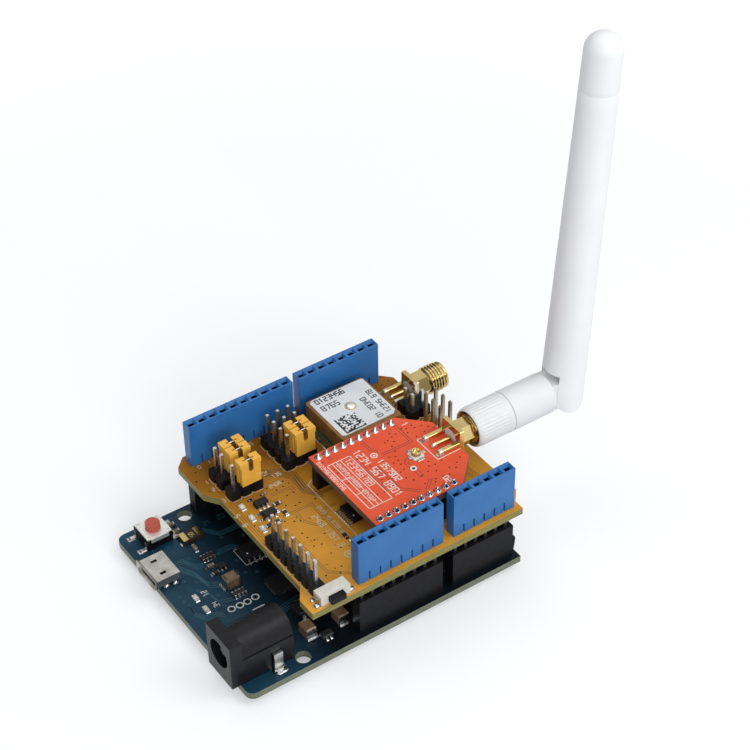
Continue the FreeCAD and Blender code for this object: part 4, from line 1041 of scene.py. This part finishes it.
# Antenna mast: a tapered rod with a seam and a domed tip, and a fork at its foot
MAST_R, TAPER, DOME = 4.65, 0.8, 3.72
foot, tip = AXIS_Z + 5, AXIS_Z + 83.3
seam = foot + (tip - foot) * 0.845


def flank(z0, z1, steps):
    """Points up the tapered side, without the first."""
    heights = [z0 + (z1 - z0) * k / steps for k in range(1, steps + 1)]
    return [(MAST_R - TAPER * (z - foot) / (tip - 1.2 - foot), z) for z in heights]


prof = [(0, foot - 0.6), (MAST_R, foot - 0.6), (MAST_R, foot)] + flank(foot, seam, 24)
r = prof[-1][0]
prof += [(r - 0.05, seam + 0.1), (r - 0.05, seam + 0.22), (r - 0.01, seam + 0.32)]
prof += flank(seam + 0.32, tip - DOME, 8)
r = prof[-1][0]
prof += [(r * math.cos(a), tip - DOME + DOME * math.sin(a)) for a in quarter(16)[1:-1]] + [(0, tip)]
b = Build()
b.turn_z(HINGE[0], RADIO_Y, prof, 0, 176)
mast = b.form("mast")
ears = shape_cyl("ears", "y", RADIO_Y - 6, RADIO_Y + 6, 4.6, 176)
for cutter, how in (
        (hinge_box("fill", -4.6, 4.6, 5.9, AXIS_Z, foot - 0.1), "UNION"),
        (shape_cyl("bound", "z", AXIS_Z - 8, foot - 0.3, MAST_R, 176), "INTERSECT"),
        (hinge_box("gap", -8, 8, 2.9, AXIS_Z - 8, foot), "DIFFERENCE")):
    ears = combine(ears, cutter, how)
mast = combine(mast, ears, "UNION")
mast = combine(mast, hinge_box("cleft", -8, 8, 2.9, AXIS_Z - 8, foot), "DIFFERENCE")
pivot = spot(*HINGE)
mast.data.transform(Matrix.Translation(pivot) @ Matrix.Rotation(LEAN, 4, "Y") @ Matrix.Translation(-pivot))
# The mast takes the lighter copy of the white plastic: painted light on its upright sides.
finish_piece(mast, M["mast_white_painted_light"], MAST, "antenna_mast")

# Power jack: seam, a near-black disc with a narrow rim at the back of the bore as painted shade, and spring
b = Build()
for y in (3.385, 12.2):
    b.box(0.85, 12.5, y, y + 0.015, 6.42, 6.5)
# A near-black disc at the back of the bore: painted shade.
b.turn_x(7.8, 6.4, [(3.14, 9.8), (3, 9.9), (0, 9.9)], 0, 48, False)
b.block(6, 7.8, 5.5, 0.5, 9.2, 9.45, 1)
b.make("jack_details", "hollow tin")

# Solder at the jack, the data socket and the reset switch
SWITCH = (6.7, 48.9)
CORNERS = [(sx, sy) for sx in (-1, 1) for sy in (-1, 1)]
b = Build()
b.dome(8.6, 1.95, 1.5, 0.85, 0, 0.42, 0, 24)
b.block(8.5, 2.9, 3.2, 1.5, 0, 0.05)
for x, y in ((1.67, 34.75), (3.6, 34.5), (1.67, 42), (4.3, 42.1)):
    b.dome(x, y, 0.75, 0.55, 0, 0.8, 0, 18)
for i in range(5):
    b.block(5.3, 38.3 + (i - 2) * 0.65, 0.9, 0.3, 0, 0.2)
for sx, sy in CORNERS:
    y = SWITCH[1] + sy * 2.25
    fillet(b, SWITCH[0] + sx * 4.4, y, sx, 0, 1, 0, 0.3, 0.5, 0)
    b.block(SWITCH[0] + sx * 4.1, y, 1.9, 1.3, 0, 0.04)
b.make("connector_solder", "solder")

# Reset switch: rivets and bent ears of its cover
b = Build()
for sx, sy in CORNERS:
    b.dome(SWITCH[0] + sx * 2.3, SWITCH[1] + sy * 2.3, 0.27, 0.27, 2.9, 0.1)
for s in (-1, 1):
    b.soft_block(SWITCH[0], SWITCH[1] + s * 2.98, 4.2, 0.12, 1.75, 2.8, 0.03, 1)
b.make("reset_cover_trim", "tin plate")

# Side switch: metal cheeks, cover seam and solder
b = Build()
for x in (17.5, 24.3):
    b.soft_box(x - 0.12, x + 0.12, 0.9, 3.2, 14, 15.3, 0.04)
b.soft_box(18.6, 23.2, 1.2, 3.1, 15.98, 16.06, 0.05, 1)
for x in (16.95, 24.85):
    b.dome(x, 1.4, 0.75, 0.6, SHIELD_TOP, 0.5, 2)
    b.dome(x, 3.1, 0.55, 0.45, SHIELD_TOP, 0.35, 2)
b.make("side_switch_trim", "tin ivory solder")

# Floor, backdrop, light and camera
def backdrop_material():
    mat, nt, surface = new_material("pale_floor")
    for key, value in (("Base Color", (0.6, 0.61, 0.63)), ("Roughness", 0.9), ("Specular IOR Level", 0.1)):
        feed(nt, surface[key], value)
    path = node(nt, "LightPath").outputs
    seen = calc(nt, "MAXIMUM", path["Is Camera Ray"], path["Is Glossy Ray"])
    seen = calc(nt, "MAXIMUM", seen, path["Is Transmission Ray"])
    place = node(nt, "TexCoord").outputs["Object"]
    reach = node(nt, "VectorMath", (0, place), operation="LENGTH").outputs["Value"]
    gain = calc(nt, "MULTIPLY", seen, spread(nt, reach, 0.4, 1, 0.15, 1.1))
    glow = node(nt, "Emission", ("Color", (1, 1, 1)), ("Strength", gain))
    shader = nt.nodes["Principled BSDF"]
    both = node(nt, "AddShader", (0, shader.outputs[0]), (1, glow.outputs[0]))
    feed(nt, nt.nodes["Material Output"].inputs["Surface"], both.outputs[0])
    return mat


mesh = bpy.data.meshes.new("floor")
mesh.from_pydata([(-3, -3, 0), (3, -3, 0), (3, 3, 0), (-3, 3, 0)], [], [(0, 1, 2, 3)])
mesh.materials.append(backdrop_material())
link("floor", mesh)

world = bpy.data.worlds.new("studio")
bpy.context.scene.world = world
world.use_nodes = True
nt = world.node_tree
path = node(nt, "LightPath").outputs
clear = calc(nt, "MAXIMUM", path["Is Camera Ray"], path["Is Transmission Ray"])
way, bright_side = node(nt, "TexCoord").outputs["Generated"], (0.55, -0.45, 0.7)
aim = node(nt, "VectorMath", (0, way), (1, bright_side), operation="DOT_PRODUCT").outputs["Value"]
sky = spread(nt, aim, 0.32, 0.64, -1, 1)
mirrored = spread(nt, aim, 0.12, 1.25, -0.25, 0.85)
level = mix(nt, clear, mix(nt, path["Is Glossy Ray"], sky, mirrored), (1, 1, 1))
feed(nt, nt.nodes["Background"].inputs["Color"], mix(nt, 1, (0.97, 0.985, 1), level, "MULTIPLY"))

for name, place, target, size, watts, colour in (
        ("key", (0.64, -0.66, 1.1), (0, 0, 0.02), (0.85, 0.85), 5.5, (1, 0.985, 0.96)),
        ("top", (-0.1, 0.5, 1.1), (0, 0, 0.03), (0.7, 0.7), 2.2, (0.97, 0.985, 1)),
        ("front", (-0.3, -1, 0.5), (0, 0, 0.06), (0.7, 0.5), 5.5, (0.98, 0.99, 1))):
    data = bpy.data.lights.new(name, "AREA")
    data.shape, data.energy, data.color = "RECTANGLE", watts, colour
    data.size, data.size_y = size
    light = link(name, data)
    light.location = place
    light.rotation_euler = (Vector(target) - Vector(place)).to_track_quat("-Z", "Y").to_euler()

# The camera fitted to the photograph: its right, up and back directions, and its place in metres
AXES = ((0.82269, -0.56835, -0.01264), (0.3732, 0.52317, 0.76617), (-0.42884, -0.63503, 0.64251))
cam = link("camera", bpy.data.cameras.new("camera"))
cam.data.sensor_width, cam.data.lens = 36, 97.43
cam.data.clip_start, cam.data.clip_end = 0.01, 20
cam.matrix_world = Matrix.Translation((-0.174185, -0.2568, 0.30264)) @ Matrix(AXES).transposed().to_4x4()
bpy.context.scene.camera = cam
bpy.context.scene.view_settings.view_transform = "Standard"

bpy.context.view_layer.update()
